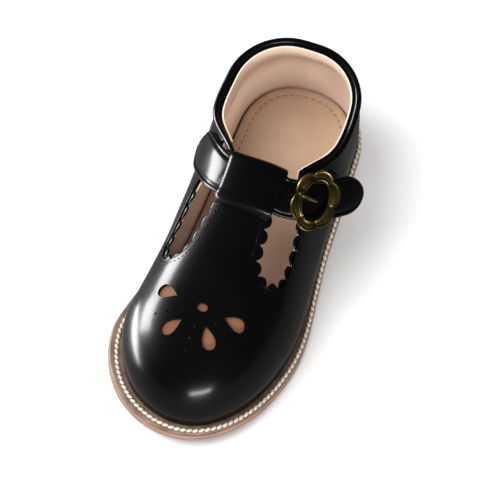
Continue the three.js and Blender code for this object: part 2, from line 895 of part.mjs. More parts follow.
// Buckle: a flower-shaped frame over the strap, its bar under the strap, its prong and its tab
// The frame lies flat on the strap's highest points, and the bar just clears its lowest ones.
function flatFrame() {
  const { origin, up } = strapFrame(buckleAt);
  const before = strapFrame(buckleAt - buckleWidth / 3).origin;
  const after = strapFrame(tailFrom).origin;
  const along = after.sub(before).normalize();
  up.addScaledVector(along, -up.dot(along)).normalize();
  along.applyAxisAngle(up, -buckleTurn);
  return { origin, along, up, side: new THREE.Vector3().crossVectors(up, along) };
}
const buckleFrame = flatFrame();
const barEnd = (strapWidth / 2 + clearance + barRadius) / Math.cos(buckleTurn) + clearance;
const barReach = barEnd * Math.sin(buckleTurn) + 2 * barRadius;

function strapHeights(reach) {
  const heights = [];
  for (const point of strapLoops.flat()) {
    const out = point.clone().sub(buckleFrame.origin);
    if (Math.abs(out.dot(buckleFrame.along)) < reach) heights.push(out.dot(buckleFrame.up));
  }
  return heights;
}
const frameUnder = Math.max(...strapHeights(buckleWidth / 2)) + clearance;
const barTop = Math.min(...strapHeights(barReach)) - clearance;

function petalRadius(turn) {
  const scallop = Math.abs(Math.cos((petals * turn) / 2 + Math.PI / 2));
  return petalDepth * (scallop - 1);
}

function ringPoint(turn, halfLength, halfWidth, extra, up) {
  const x = Math.cos(turn) * (halfWidth + extra);
  const y = Math.sin(turn) * (halfLength + extra);
  return inFrame(buckleFrame, x, y, up);
}

function makeBuckleFrame() {
  const under = frameUnder;
  const top = frameUnder + buckleThickness;
  const ease = buckleThickness / 3;
  const loops = [];
  for (let i = 0; i < arcSteps; i += 1) {
    const turn = (2 * Math.PI * i) / arcSteps;
    const petal = petalRadius(turn);
    const rimHalf = [buckleLength / 2, buckleWidth / 2];
    const holeHalf = [holeLength / 2, holeWidth / 2];
    loops.push([
      ringPoint(turn, rimHalf[0], rimHalf[1], petal, under),
      ringPoint(turn, rimHalf[0], rimHalf[1], petal, top - ease),
      ringPoint(turn, rimHalf[0], rimHalf[1], petal - ease, top),
      ringPoint(turn, holeHalf[0], holeHalf[1], ease, top),
      ringPoint(turn, holeHalf[0], holeHalf[1], 0, top - ease),
      ringPoint(turn, holeHalf[0], holeHalf[1], 0, under),
    ]);
  }
  let frame = loft(loops, true);
  const barDrop = barTop - barRadius;
  frame = frame.add(rodBetween([0, -barEnd, barDrop], [0, barEnd, barDrop], barRadius));
  for (const end of [-barEnd, barEnd]) {
    frame = frame.add(rodBetween([0, end, barDrop - barRadius], [0, end, under + ease], barRadius));
  }
  return frame;
}

// A round rod between two points of the buckle's frame.
function rodBetween(from, to, radius) {
  const start = inFrame(buckleFrame, ...from);
  const end = inFrame(buckleFrame, ...to);
  const direction = end.clone().sub(start);
  const rod = new THREE.CylinderGeometry(radius, radius, direction.length(), 10);
  rod.translate(0, direction.length() / 2, 0);
  const turn = new THREE.Quaternion();
  turn.setFromUnitVectors(new THREE.Vector3(0, 1, 0), direction.normalize());
  rod.applyQuaternion(turn);
  rod.translate(start.x, start.y, start.z);
  return solidOfGeometry(rod);
}

function solidOfGeometry(geometry) {
  const { position } = geometry.attributes;
  const points = [];
  for (let i = 0; i < position.count; i += 1) {
    points.push(new THREE.Vector3().fromBufferAttribute(position, i));
  }
  const triangles = [];
  const { index } = geometry;
  for (let i = 0; i < index.count; i += 3) {
    triangles.push([index.getX(i), index.getX(i + 1), index.getX(i + 2)]);
  }
  return solidOf(points, triangles);
}

// The prong lies in the opening on the strap, its tip on the rim towards the T strap.
function makeBuckleProng() {
  const lift = Math.max(...strapHeights(barReach)) + clearance + prongRadius;
  const overRim = frameUnder + buckleThickness + clearance + prongRadius;
  const rim = (buckleWidth - holeWidth) / 2;
  const stations = [
    [0, lift, prongRadius],
    [rim / 2 - holeWidth / 2, lift + 0.8 * prongRadius, prongRadius],
    [rim / 12 - holeWidth / 2, overRim, prongRadius],
    [-rim / 2 - holeWidth / 2, overRim, prongRadius * 0.7],
  ];
  const sides = 8;
  const loops = stations.map(([along, up, radius]) => {
    const loop = [];
    for (let i = 0; i < sides; i += 1) {
      const turn = (2 * Math.PI * i) / sides;
      loop.push(inFrame(buckleFrame, along, Math.cos(turn) * radius, up + Math.sin(turn) * radius));
    }
    return loop;
  });
  return loft(loops, false);
}

// Buckle tab: a short band that comes from under the bar and is sewn on the outer quarter
const tabTurn = 0.65;
const tabDrop = 0.42;
function makeBuckleTab() {
  const steps = 14;
  const acrossSteps = 6;
  const loops = [];
  const startAlong = strapAlong(buckleAt);
  const startAcross = buckleAt + strapOut(buckleAt);
  const underBar = barTop - 2 * barRadius - clearance - tabThickness;
  for (let i = 0; i <= steps; i += 1) {
    const share = i / steps;
    const out = tabLength * share;
    const half = (tabWidth / 2) * roundEnd(0.65, 1.03, share, 2);
    const onQuarter = easeBetween(0, tabDrop, share);
    const place = (side, level) => {
      const y = startAlong + out * Math.cos(tabTurn) - side * Math.sin(tabTurn);
      const across = startAcross + out * Math.sin(tabTurn) + side * Math.cos(tabTurn);
      const sewn = onUpper(y, across, 1.5 * clearance + level);
      const held = inFrame(
        buckleFrame,
        out * Math.sin(tabTurn) + side * Math.cos(tabTurn),
        out * Math.cos(tabTurn) - side * Math.sin(tabTurn),
        underBar + level,
      );
      return held.lerp(sewn, onQuarter);
    };
    const under = [];
    const over = [];
    for (let k = 0; k <= acrossSteps; k += 1) {
      const side = half * ((2 * k) / acrossSteps - 1);
      under.push(place(side, 0));
      over.unshift(place(side, tabThickness));
    }
    loops.push([...under, ...over]);
  }
  return loft(loops, false);
}

// The scene graph
function asMesh(name, solid, look) {
  const { vertProperties, triVerts } = solid.getMesh();
  const geometry = new THREE.BufferGeometry();
  geometry.setAttribute("position", new THREE.BufferAttribute(vertProperties, 3));
  geometry.setIndex(new THREE.BufferAttribute(triVerts, 1));
  geometry.computeVertexNormals();
  const mesh = new THREE.Mesh(geometry, new THREE.MeshStandardMaterial(look));
  mesh.name = name;
  return mesh;
}

const patent = { color: 0x101114, roughness: 0.18, metalness: 0 };
const rubber = { color: 0x9a7868, roughness: 0.7, metalness: 0 };
const weltLook = { color: 0x8a6a50, roughness: 0.6, metalness: 0 };
const brass = { color: 0x7a6a2c, roughness: 0.35, metalness: 1 };
const sock = { color: 0xb89272, roughness: 0.75, metalness: 0 };

const shoe = new THREE.Group();
shoe.add(asMesh("outsole", makeOutsole(), rubber));
shoe.add(asMesh("welt", makeWelt(), weltLook));
shoe.add(asMesh("insole", makeInsole(), sock));
shoe.add(asMesh("upper", makeUpper(), patent));
shoe.add(asMesh("cross_strap", makeCrossStrap(), patent));
shoe.add(asMesh("strap_loop", makeStrapLoop(), patent));
shoe.add(asMesh("buckle_frame", makeBuckleFrame(), brass));
shoe.add(asMesh("buckle_prong", makeBuckleProng(), brass));
shoe.add(asMesh("buckle_tab", makeBuckleTab(), patent));

const group = new THREE.Group();
group.add(shoe);
const box = new THREE.Box3().setFromObject(shoe);
shoe.position.set(-(box.min.x + box.max.x) / 2, -(box.min.y + box.max.y) / 2, -box.min.z);

export default group;
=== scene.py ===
import math
from functools import lru_cache

import bmesh
import bpy
import numpy as np
from mathutils import Matrix, Vector


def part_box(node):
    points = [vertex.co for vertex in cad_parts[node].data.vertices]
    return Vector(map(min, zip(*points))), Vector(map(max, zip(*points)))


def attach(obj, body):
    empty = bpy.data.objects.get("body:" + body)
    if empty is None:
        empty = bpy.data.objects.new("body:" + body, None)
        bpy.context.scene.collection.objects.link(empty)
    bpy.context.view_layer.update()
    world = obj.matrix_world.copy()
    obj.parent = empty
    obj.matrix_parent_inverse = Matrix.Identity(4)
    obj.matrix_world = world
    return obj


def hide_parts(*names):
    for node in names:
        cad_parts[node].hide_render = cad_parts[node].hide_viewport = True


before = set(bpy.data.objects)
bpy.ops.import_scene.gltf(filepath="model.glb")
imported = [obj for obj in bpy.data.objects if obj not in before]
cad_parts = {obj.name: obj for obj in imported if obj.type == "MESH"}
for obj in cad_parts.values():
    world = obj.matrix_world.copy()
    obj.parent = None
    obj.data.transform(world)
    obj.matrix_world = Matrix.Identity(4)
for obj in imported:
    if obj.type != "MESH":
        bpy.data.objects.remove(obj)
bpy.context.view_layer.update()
mm = 0.001

# Camera
# The photograph looks down on the toe from the outer side, a good metre away.
camera_turn = 19.6
camera_height = 61.9
camera_distance = 1.4
camera_aim = Vector((-0.0018, -0.0012, 0.0241))


def face_the_shoe(thing, turn, height, distance):
    """Puts a camera or a light at a turn and a height in degrees, looking at the shoe."""
    turn, height = math.radians(turn), math.radians(height)
    back = Vector((math.sin(turn) * math.cos(height), -math.cos(turn) * math.cos(height), math.sin(height)))
    thing.location = camera_aim + back * distance
    thing.rotation_euler = back.to_track_quat("Z", "Y").to_euler()


camera = bpy.data.objects.new("camera", bpy.data.cameras.new("camera"))
camera.data.sensor_width = 36
camera.data.lens = 300
camera.data.clip_end = 20
face_the_shoe(camera, camera_turn, camera_height, camera_distance)
bpy.context.scene.collection.objects.link(camera)
bpy.context.scene.camera = camera

# Outsole
# A moulded rubber slab that follows the foot: it lifts over the arch and springs up at the toe.
# Its side has a fine groove, and a low rubber heel is built on under it.
sole_length = 146 * mm
ball_width = 66 * mm
outsole_thickness = 4 * mm
welt_thickness = 1.8 * mm
heel_height = 8 * mm
toe_spring = 4.5 * mm
clearance = 0.3 * mm
heel_end = sole_length / 2
foot_height = heel_height + outsole_thickness + welt_thickness


def along_foot(at):
    return heel_end - at * sole_length


def share_at(y):
    return (heel_end - y) / sole_length


def curve_through(rows, column):
    """A smooth curve through a table's column, level at both ends of the table."""
    places = [row["at"] for row in rows]
    values = [row[column] for row in rows]
    slopes = [0.0] * len(rows)
    for i in range(1, len(rows) - 1):
        slopes[i] = (values[i + 1] - values[i - 1]) / (places[i + 1] - places[i - 1])

    def curve(at):
        if at <= places[0]:
            return values[0]
        if at >= places[-1]:
            return values[-1]
        i = 0
        while at > places[i + 1]:
            i += 1
        span = places[i + 1] - places[i]
        u = (at - places[i]) / span
        rise = u * u * (3 - 2 * u)
        start = values[i] * (1 - rise) + slopes[i] * span * u * (1 - u) ** 2
        return start + values[i + 1] * rise - slopes[i + 1] * span * u * u * (1 - u)

    return curve


def ease_between(start, end, at):
    u = min(max((at - start) / (end - start), 0), 1)
    return u * u * (3 - 2 * u)


def round_end(start, end, at, power):
    """1 before the start, then a round fall to 0 at the end."""
    u = min(max((at - start) / (end - start), 0), 1)
    return max(1 - u**power, 0) ** (1 / power)


def table(columns, *rows):
    """The rows of a table, each with its values under the columns' names."""
    return [dict(zip(columns.split(), row)) for row in rows]


outline_rows = table(
    "at inner outer",
    (0.0, 0.355, 0.35),
    (0.15, 0.362, 0.36),
    (0.3, 0.37, 0.378),
    (0.42, 0.39, 0.386),
    (0.52, 0.428, 0.408),
    (0.62, 0.49, 0.437),
    (0.7, 0.538, 0.444),
    (0.77, 0.563, 0.441),
    (1.0, 0.563, 0.441),
)
toe_tip_share = -0.06
heel_round_from = 0.165
toe_round_from = {"inner": 0.74, "outer": 0.66}


def sole_outline(steps=400):
    """Anticlockwise from the heel's end: inner side, toe, outer side."""
    tip = toe_tip_share * ball_width
    points = []
    for side, sign in (("inner", -1), ("outer", 1)):
        half = curve_through(outline_rows, side)
        edge = []
        for i in range(steps + 1):
            at = (1 - math.cos(math.pi * i / steps)) / 2
            plain = sign * half(at) * ball_width * round_end(-heel_round_from, 0, -at, 2.2)
            at_toe = round_end(toe_round_from[side], 1, at, 2)
            edge.append((tip + (plain - tip) * at_toe, along_foot(at)))
        points += edge[:-1] if side == "inner" else edge[:0:-1]
    return np.array(points)


def inset(points, amount):
    """Moves an outline inwards by an amount that depends on the place along the foot."""
    along = np.roll(points, -2, axis=0) - np.roll(points, 2, axis=0)
    along /= np.linalg.norm(along, axis=1)[:, None]
    inward = np.stack([-along[:, 1], along[:, 0]], axis=1)
    amounts = np.array([amount(share_at(y)) for y in points[:, 1]])
    return points + inward * amounts[:, None]


def lengths_along(path):
    """How far along a path each of its points lies."""
    return np.concatenate([[0], np.cumsum(np.linalg.norm(np.diff(path, axis=0), axis=1))])


def spaced_path(path, count):
    """The same path with evenly spaced points."""
    lengths = lengths_along(path)
    marks = np.linspace(0, lengths[-1], count)
    return np.column_stack([np.interp(marks, lengths, values) for values in path.T])


def spaced_outline(points, count):
    """The same closed outline with evenly spaced points."""
    return spaced_path(np.vstack([points, points[:1]]), count + 1)[:-1]


def sides_of(points):
    """The x of an outline's inner and outer side by y, and the y of its two ends."""
    half = len(points) // 2
    inner = points[: half + 1]
    outer = np.vstack([points[:1], points[half:][::-1]])

    def look_up(side):
        order = np.argsort(side[:, 1])
        places, values = side[order, 1], side[order, 0]
        return lambda y: float(np.interp(y, places, values))

    return look_up(inner), look_up(outer), points[0, 1], points[half, 1]


def feather_height(at):
    """The line where the upper meets the sole: heel, arch, ball, toe spring."""
    spring = max((at - 0.7) / 0.3, 0)
    return foot_height - heel_height * ease_between(0.22, 0.6, at) + toe_spring * spring**1.8


sole_edge = sole_outline()
sole_low, sole_high = (Vector(corner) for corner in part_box("outsole"))
shoe_origin = Vector(
    (
        (sole_low.x + sole_high.x - sole_edge[:, 0].min() - sole_edge[:, 0].max()) / 2,
        (sole_low.y + sole_high.y) / 2,
        0,
    )
)


def finished(name, mesh, *materials):
    """Links a finished bmesh as a piece of the shoe."""
    bmesh.ops.translate(mesh, verts=mesh.verts, vec=shoe_origin)
    bmesh.ops.recalc_face_normals(mesh, faces=mesh.faces)
    data = bpy.data.meshes.new(name)
    mesh.to_mesh(data)
    mesh.free()
    data.shade_smooth()
    for material in materials:
        data.materials.append(material)
    piece = bpy.data.objects.new(name, data)
    bpy.context.scene.collection.objects.link(piece)
    return piece


def shaped_grid(columns, rows, place):
    """A grid whose points are put where place(column share, row share) says, with its seams closed."""
    mesh = bmesh.new()
    bmesh.ops.create_grid(mesh, x_segments=columns, y_segments=rows, size=0.5)
    for vert in mesh.verts:
        column = round((vert.co.x + 0.5) * columns)
        row = round((vert.co.y + 0.5) * rows)
        vert.co = place(column / columns, row / rows)
    bmesh.ops.remove_doubles(mesh, verts=mesh.verts, dist=0.002 * mm)
    return mesh


def close_ends(mesh):
    bmesh.ops.holes_fill(mesh, edges=[edge for edge in mesh.edges if edge.is_boundary])


def cosine_share(share):
    return (1 - math.cos(math.pi * share)) / 2


def slab(side_rows, height_at, columns_across, rows, ledge_at=lambda at: 0, place_along=cosine_share):
    """A slab over the foot's outline. Its side's rows, from the bottom up, say how far in each line lies."""
    edges = []
    for row in side_rows:
        edges.append(sides_of(inset(sole_edge, lambda at, by=row["in"] * mm: ledge_at(at) + by)))
    count = len(side_rows)
    loop = [("inner", i, 0.0) for i in range(count - 1, 0, -1)]
    loop += [("cross", 0, i / columns_across) for i in range(columns_across)]
    loop += [("outer", i, 1.0) for i in range(count - 1)]
    loop += [("cross", count - 1, 1 - i / columns_across) for i in range(columns_across)]
    loop.append(loop[0])

    def place(u, v):
        _, i, across = loop[round(u * (len(loop) - 1))]
        inner, outer, heel, toe = edges[i]
        y = heel + (toe - heel) * place_along(v)
        x = inner(y) + (outer(y) - inner(y)) * across
        return Vector((x, y, height_at(share_at(y), side_rows[i]["up"])))

    return shaped_grid(len(loop) - 1, rows, place)


def slab_bottom(at):
    return max(feather_height(at) - welt_thickness - outsole_thickness, 0)


def slab_level(at, up):
    top = feather_height(at) - welt_thickness - clearance
    return slab_bottom(at) + (top - slab_bottom(at)) * up


sole_side = table(
    "up in",
    (0.0, 1.1),
    (0.03, 0.6),
    (0.1, 0.22),
    (0.22, 0.03),
    (0.44, 0.0),
    (0.5, 0.12),
    (0.53, 0.5),
    (0.6, 0.55),
    (0.64, 0.12),
    (0.7, 0.0),
    (0.9, 0.02),
    (0.97, 0.25),
    (1.0, 0.9),
)
sole_mesh = slab(sole_side, slab_level, 10, 150)

heel_breast = 0.29
heel_side = table(
    "up in",
    (0.0, 1.7),
    (0.03, 1.2),
    (0.1, 0.98),
    (0.6, 0.8),
    (0.64, 1.05),
    (0.68, 0.7),
    (1.0, 0.55),
)
heel_top = slab_bottom(0.1) + outsole_thickness / 3


def heel_place(share):
    return heel_breast * (1 - math.cos(math.pi / 2 * share))


heel_mesh = slab(heel_side, lambda at, up: heel_top * up, 6, 40, place_along=heel_place)
close_ends(heel_mesh)


def new_finish(name, base, roughness, metallic=0.0):
    """A material with one Principled shader."""
    material = bpy.data.materials.new(name)
    material.use_nodes = True
    shader = material.node_tree.nodes["Principled BSDF"]
    shader.inputs["Base Color"].default_value = (*base, 1)
    shader.inputs["Roughness"].default_value = roughness
    shader.inputs["Metallic"].default_value = metallic
    material.diffuse_color = (*base, 1)
    return material, material.node_tree, shader


def make_mottle():
    """Node group: a soft cloud mask and a fine grain height, over Object coordinates."""
    group = bpy.data.node_groups.new("mottle", "ShaderNodeTree")
    for socket, value in (("Cloud Scale", 60.0), ("Grain Scale", 900.0)):
        added = group.interface.new_socket(socket, in_out="INPUT", socket_type="NodeSocketFloat")
        added.default_value = value
    for socket in ("Cloud", "Grain"):
        group.interface.new_socket(socket, in_out="OUTPUT", socket_type="NodeSocketFloat")
    inputs = group.nodes.new("NodeGroupInput")
    outputs = group.nodes.new("NodeGroupOutput")
    places = group.nodes.new("ShaderNodeTexCoord")
    cloud = group.nodes.new("ShaderNodeTexNoise")
    cloud.inputs["Detail"].default_value = 4
    grain = group.nodes.new("ShaderNodeTexNoise")
    grain.inputs["Detail"].default_value = 3
    for node, scale in ((cloud, "Cloud Scale"), (grain, "Grain Scale")):
        group.links.new(places.outputs["Object"], node.inputs["Vector"])
        group.links.new(inputs.outputs[scale], node.inputs["Scale"])
    group.links.new(cloud.outputs[0], outputs.inputs["Cloud"])
    group.links.new(grain.outputs[0], outputs.inputs["Grain"])
    return group


mottle = make_mottle()


def add_mottle(tree, cloud_scale, grain_scale):
    node = tree.nodes.new("ShaderNodeGroup")
    node.node_tree = mottle
    node.inputs["Cloud Scale"].default_value = cloud_scale
    node.inputs["Grain Scale"].default_value = grain_scale
    return node


def blend_colours(tree, mask, dark, light, low=0.3, high=0.7):
    """A ramp from one colour to the other, driven by a mask."""
    ramp = tree.nodes.new("ShaderNodeValToRGB")
    ramp.color_ramp.elements[0].position = low
    ramp.color_ramp.elements[0].color = (*dark, 1)
    ramp.color_ramp.elements[1].position = high
    ramp.color_ramp.elements[1].color = (*light, 1)
    tree.links.new(mask, ramp.inputs["Fac"])
    return ramp.outputs["Color"]


def add_bump(tree, shader, height, strength, depth):
    bump = tree.nodes.new("ShaderNodeBump")
    bump.inputs["Strength"].default_value = strength
    bump.inputs["Distance"].default_value = depth
    tree.links.new(height, bump.inputs["Height"])
    tree.links.new(bump.outputs["Normal"], shader.inputs["Normal"])


def grained_finish(name, base, roughness, scales, shades, bump, metallic=0.0, band=(0.3, 0.7)):
    """A finish whose colour drifts between two shades, with a fine grain in its surface."""
    material, tree, shader = new_finish(name, base, roughness, metallic)
    pattern = add_mottle(tree, *scales)
    shade = blend_colours(tree, pattern.outputs["Cloud"], *shades, *band)
    tree.links.new(shade, shader.inputs["Base Color"])
    add_bump(tree, shader, pattern.outputs["Grain"], *bump)
    return material


tread_pitch = 3.2 * mm
tread_depth = 0.3 * mm
wave_period = math.tau / 20


def make_rubber():
    """Brown rubber, with a fine ribbed tread on the faces that look down."""
    material, tree, shader = new_finish("brown_rubber", (0.33, 0.19, 0.14), 0.55)
    pattern = add_mottle(tree, 90, 1400)
    shade = blend_colours(tree, pattern.outputs["Cloud"], (0.2, 0.115, 0.085), (0.3, 0.185, 0.14))
    tree.links.new(shade, shader.inputs["Base Color"])
    places = tree.nodes.new("ShaderNodeTexCoord")
    ribs = tree.nodes.new("ShaderNodeTexWave")
    ribs.bands_direction = "Y"
    ribs.inputs["Scale"].default_value = wave_period / tread_pitch
    tree.links.new(places.outputs["Object"], ribs.inputs["Vector"])
    facing = tree.nodes.new("ShaderNodeNewGeometry")
    downwards = tree.nodes.new("ShaderNodeSeparateXYZ")
    tree.links.new(facing.outputs["True Normal"], downwards.inputs["Vector"])
    is_under = tree.nodes.new("ShaderNodeMapRange")
    is_under.inputs["From Min"].default_value = -0.9
    is_under.inputs["From Max"].default_value = -0.98
    tree.links.new(downwards.outputs["Z"], is_under.inputs["Value"])
    tread = tree.nodes.new("ShaderNodeMath")
    tread.operation = "MULTIPLY_ADD"
    tree.links.new(ribs.outputs["Fac"], tread.inputs[0])
    tree.links.new(is_under.outputs["Result"], tread.inputs[1])
    tree.links.new(pattern.outputs["Grain"], tread.inputs[2])
    add_bump(tree, shader, tread.outputs["Value"], 0.6, tread_depth)
    return material


brown_rubber = make_rubber()
heel_block = finished("heel_block", heel_mesh, brown_rubber)
outsole = finished("outsole_slab", sole_mesh, brown_rubber)
for piece in (outsole, heel_block):
    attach(piece, "root")
    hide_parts("outsole")

# Welt
# A thin leather ledge between the upper and the outsole, cut flush with the sole and waxed at its edge.
welt_ledge = 4 * mm
waist_ledge = 1.5 * mm
seam_width = 8 * mm
seam_lap = 0.4 * mm
ledge_rows = table(
    "at ledge shift",
    (0.0, 0, 0),
    (0.42, 0, 0),
    (0.72, 1, 0.25),
    (1.0, 1, 0.25),
)
ledge_share = curve_through(ledge_rows, "ledge")
shift_share = curve_through(ledge_rows, "shift")


def ledge(at):
    return waist_ledge + (welt_ledge - waist_ledge) * ledge_share(at)


def feather_edge(depth):
    """The outline at a distance inside the upper's bottom edge."""
    edge = inset(sole_edge, lambda at: ledge(at) + depth)
    edge[:, 0] += [welt_ledge * shift_share(share_at(y)) for y in edge[:, 1]]
    return edge


welt_side = table(
    "up in",
    (0.0, 0.5),
    (0.25, 0.42),
    (0.55, 0.45),
    (0.75, 0.62),
    (0.83, 1.0),
)
welt_count = 240
welt_edges = [(inset(sole_edge, lambda at, by=row["in"] * mm: by), row["up"]) for row in welt_side]
welt_edges.append((feather_edge(-seam_lap), 0.8))
welt_edges.append((feather_edge(seam_width), 0.8))
welt_edges.append((feather_edge(seam_width), 0.0))
welt_loops = [(spaced_outline(edge, welt_count), up) for edge, up in welt_edges]
welt_loops.append(welt_loops[0])


def welt_point(u, v):
    edge, up = welt_loops[round(v * (len(welt_loops) - 1))]
    x, y = edge[round(u * welt_count) % welt_count]
    return Vector((x, y, feather_height(share_at(y)) - welt_thickness * (1 - up)))


welt_leather = grained_finish(
    "welt_leather",
    base=(0.2, 0.12, 0.08),
    roughness=0.5,
    scales=(200, 1800),
    shades=((0.11, 0.065, 0.045), (0.22, 0.14, 0.1)),
    bump=(0.3, 0.1 * mm),
)
welt = finished("welt_ledge", shaped_grid(welt_count, len(welt_loops) - 1, welt_point), welt_leather)
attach(welt, "root")
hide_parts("welt")

# Welt stitches
# Thick waxed cream thread in long slanted stitches that sit close together on the ledge.
stitch_pitch = 2.15 * mm
stitch_length = 2.5 * mm
stitch_radius = 0.62 * mm
stitch_slant = math.radians(20)
stitch_sunk = 0.1 * mm


def ring_path(edge, lift):
    """A closed path over an outline, lifted over the feather line."""
    path = np.column_stack([edge, [feather_height(share_at(y)) + lift for y in edge[:, 1]]])
    return np.vstack([path, path[:1]])


def point_along(path, lengths, mark):
    return Vector([float(np.interp(mark, lengths, values)) for values in path.T])


def add_stitch(mesh, place, along, up, length, radius, slant=0.0):
    """One rounded stitch, lying along a direction and turned a little about the surface's normal."""
    along = along.normalized()
    side = up.cross(along).normalized()
    turned = along * math.cos(slant) + side * math.sin(slant)
    breadth = up.cross(turned).normalized()
    axes = Matrix((turned * length / 2, breadth * radius, up * radius)).transposed()
    pose = Matrix.Translation(place) @ axes.to_4x4()
    bmesh.ops.create_uvsphere(mesh, u_segments=8, v_segments=6, radius=1, matrix=pose)


def stitched(name, thread, path, pitch, length, radius, slant=0.0, up_at=None):
    """A piece of rounded stitches, evenly along a path of points."""
    mesh = bmesh.new()
    lengths = lengths_along(path)
    end = lengths[-1]
    step = pitch / 4
    count = max(round(end / pitch), 1)
    for i in range(count):
        mark = end * (i + 0.5) / count
        ahead = point_along(path, lengths, min(mark + step, end))
        along = ahead - point_along(path, lengths, max(mark - step, 0))
        up = up_at(mark / end) if up_at else Vector((0, 0, 1))
        up = (up - along * up.dot(along) / along.length_squared).normalized()
        add_stitch(mesh, point_along(path, lengths, mark), along, up, length, radius, slant)
    return finished(name, mesh, thread)


def make_thread(name, base):
    dark = tuple(value * 0.75 for value in base)
    return grained_finish(name, base, 0.6, (500, 3500), (dark, base), (0.5, 0.08 * mm))


def stitch_offset(at):
    """Where the stitches run between the upper's edge and the sole's."""
    return -(ledge(at) * 0.5)


stitch_edge = spaced_outline(inset(feather_edge(0), stitch_offset), 500)
welt_stitches = stitched(
    "welt_stitches",
    make_thread("cream_thread", (0.62, 0.56, 0.47)),
    ring_path(stitch_edge, -stitch_sunk),
    stitch_pitch,
    stitch_length,
    stitch_radius,
    stitch_slant,
)
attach(welt_stitches, "root")

# Insole
# A soft leather sock over a thin pad, glued down inside the upper.
insole_thickness = 2.2 * mm
wall = 1.8 * mm
insole_side = table(
    "up in",
    (0.0, 0.3),
    (0.45, 0.25),
    (0.75, 0.45),
    (0.92, 0.9),
    (1.0, 1.8),
    (1.0, 3.2),
    (0.9, 3.7),
    (1.0, 4.2),
)


def insole_level(at, up):
    return feather_height(at) + insole_thickness * up


def insole_ledge(at):
    return ledge(at) + wall + clearance


insole_mesh = slab(insole_side, insole_level, 14, 130, ledge_at=insole_ledge)
for vert in insole_mesh.verts:
    vert.co.x += welt_ledge * shift_share(share_at(vert.co.y))

sock_leather = grained_finish(
    "sock_leather",
    base=(0.44, 0.3, 0.21),
    roughness=0.5,
    scales=(35, 1600),
    shades=((0.4, 0.265, 0.18), (0.5, 0.35, 0.25)),
    bump=(0.2, 0.06 * mm),
)
insole = finished("sock", insole_mesh, sock_leather)
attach(insole, "root")
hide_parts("insole")

sock_stitch_in = 3.7 * mm
sock_edge = spaced_outline(feather_edge(wall + clearance + sock_stitch_in), 400)
sock_stitches = stitched(
    "sock_stitches",
    make_thread("brown_thread", (0.3, 0.17, 0.11)),
    ring_path(sock_edge, insole_thickness * 0.93),
    pitch=2.6 * mm,
    length=1.5 * mm,
    radius=0.26 * mm,
)
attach(sock_stitches, "root")

# Upper
# Polished black leather pulled over the last: one smooth vamp and quarters, with the collar, the two
# side openings and the punched pattern cut out before it was lasted.
instep_height = 42 * mm
collar_height = 38 * mm
heel_lean = 4 * mm
leather = 1.1 * mm
crown_rows = table(
    "at rise fullness",
    (0.0, 1.58, 3.2),
    (0.155, 1.58, 3.2),
    (0.26, 1.27, 2.95),
    (0.33, 1.04, 2.55),
    (0.4, 1.01, 2.35),
    (0.45, 1.0, 2.3),
    (0.51, 0.975, 2.3),
    (0.6, 0.885, 2.3),
    (0.7, 0.775, 2.3),
    (0.82, 0.69, 2.35),
    (1.0, 0.68, 2.4),
)
ridge_rows = table(
    "at ridge",
    (0.0, 0.0),
    (0.2, 0.0),
    (0.34, -0.02),
    (0.45, -0.018),
    (0.6, -0.05),
    (0.78, -0.062),
    (1.0, -0.045),
)
swell_rows = table(
    "at inner outer",
    (0.0, 0.0, 0.0),
    (0.16, 0.02, 0.01),
    (0.3, 0.054, 0.012),
    (0.46, 0.056, 0.012),
    (0.62, 0.032, 0.012),
    (0.8, 0.014, 0.012),
    (1.0, 0.0, 0.0),
)
crown_rise = curve_through(crown_rows, "rise")
crown_fullness = curve_through(crown_rows, "fullness")
ridge_share = curve_through(ridge_rows, "ridge")
inner_swell = curve_through(swell_rows, "inner")
outer_swell = curve_through(swell_rows, "outer")
toe_cap_from = 0.76
heel_cap_from = 0.18
heel_swell = 1.44
lean_limit = 1.6
section_steps = 96
crown = section_steps // 2


def lean(y, z):
    """The back of the heel swells out low down and leans in at the collar."""
    weight = 1 - ease_between(0.02, 0.3, share_at(y))
    u = np.maximum((z - foot_height) / collar_height, 0)
    return weight * heel_lean * np.maximum(heel_swell * u * (1 - u) - u * u, -lean_limit)


@lru_cache(maxsize=None)
def feather_sides(depth):
    return sides_of(feather_edge(depth))


def crown_height(y, depth):
    _, _, heel, toe = feather_sides(depth)
    at = share_at(y)
    over_toe = round_end(toe_cap_from, share_at(toe), at, 2.2)
    over_heel = round_end(-heel_cap_from, -share_at(heel), -at, 3)
    return (crown_rise(at) * instep_height - depth) * over_toe * over_heel


@lru_cache(maxsize=None)
def section(y, depth=0.0, steps=section_steps):
    """The upper's section at y, from the inner bottom edge over the crown to the outer one."""
    inner, outer, heel, toe = feather_sides(depth)
    at = share_at(y)
    is_tip = y > heel - 0.001 * mm or y < toe + 0.001 * mm
    ridge = ridge_share(at) * ball_width
    power = 2 / crown_fullness(at)
    turn = np.linspace(0, math.pi, steps + 1)
    across = -np.sign(np.cos(turn)) * np.abs(np.cos(turn)) ** power
    up = np.maximum(np.sin(turn), 0) ** power
    up[[0, -1]] = 0
    is_inner = turn < math.pi / 2
    reach = np.where(is_inner, ridge - inner(y), outer(y) - ridge) * (0 if is_tip else 1)
    swell = np.where(is_inner, -inner_swell(at), outer_swell(at)) * ball_width * (0 if is_tip else 1)
    x = ridge + across * reach + swell * 4 * up * (1 - up)
    z = feather_height(at) + (0 if is_tip else crown_height(y, depth)) * up
    return np.stack([x, y + lean(y, z), z], axis=1)


@lru_cache(maxsize=None)
def measured_section(y):
    """A section with each point's distance from the crown, over the leather."""
    points = section(y)
    lengths = lengths_along(points)
    return points, lengths - lengths[crown]


def surface_point(y, across):
    """A point of the upper, by its place along the foot and its distance from the crown."""
    points, lengths = measured_section(round(y, 6))
    return point_along(points, lengths, across)


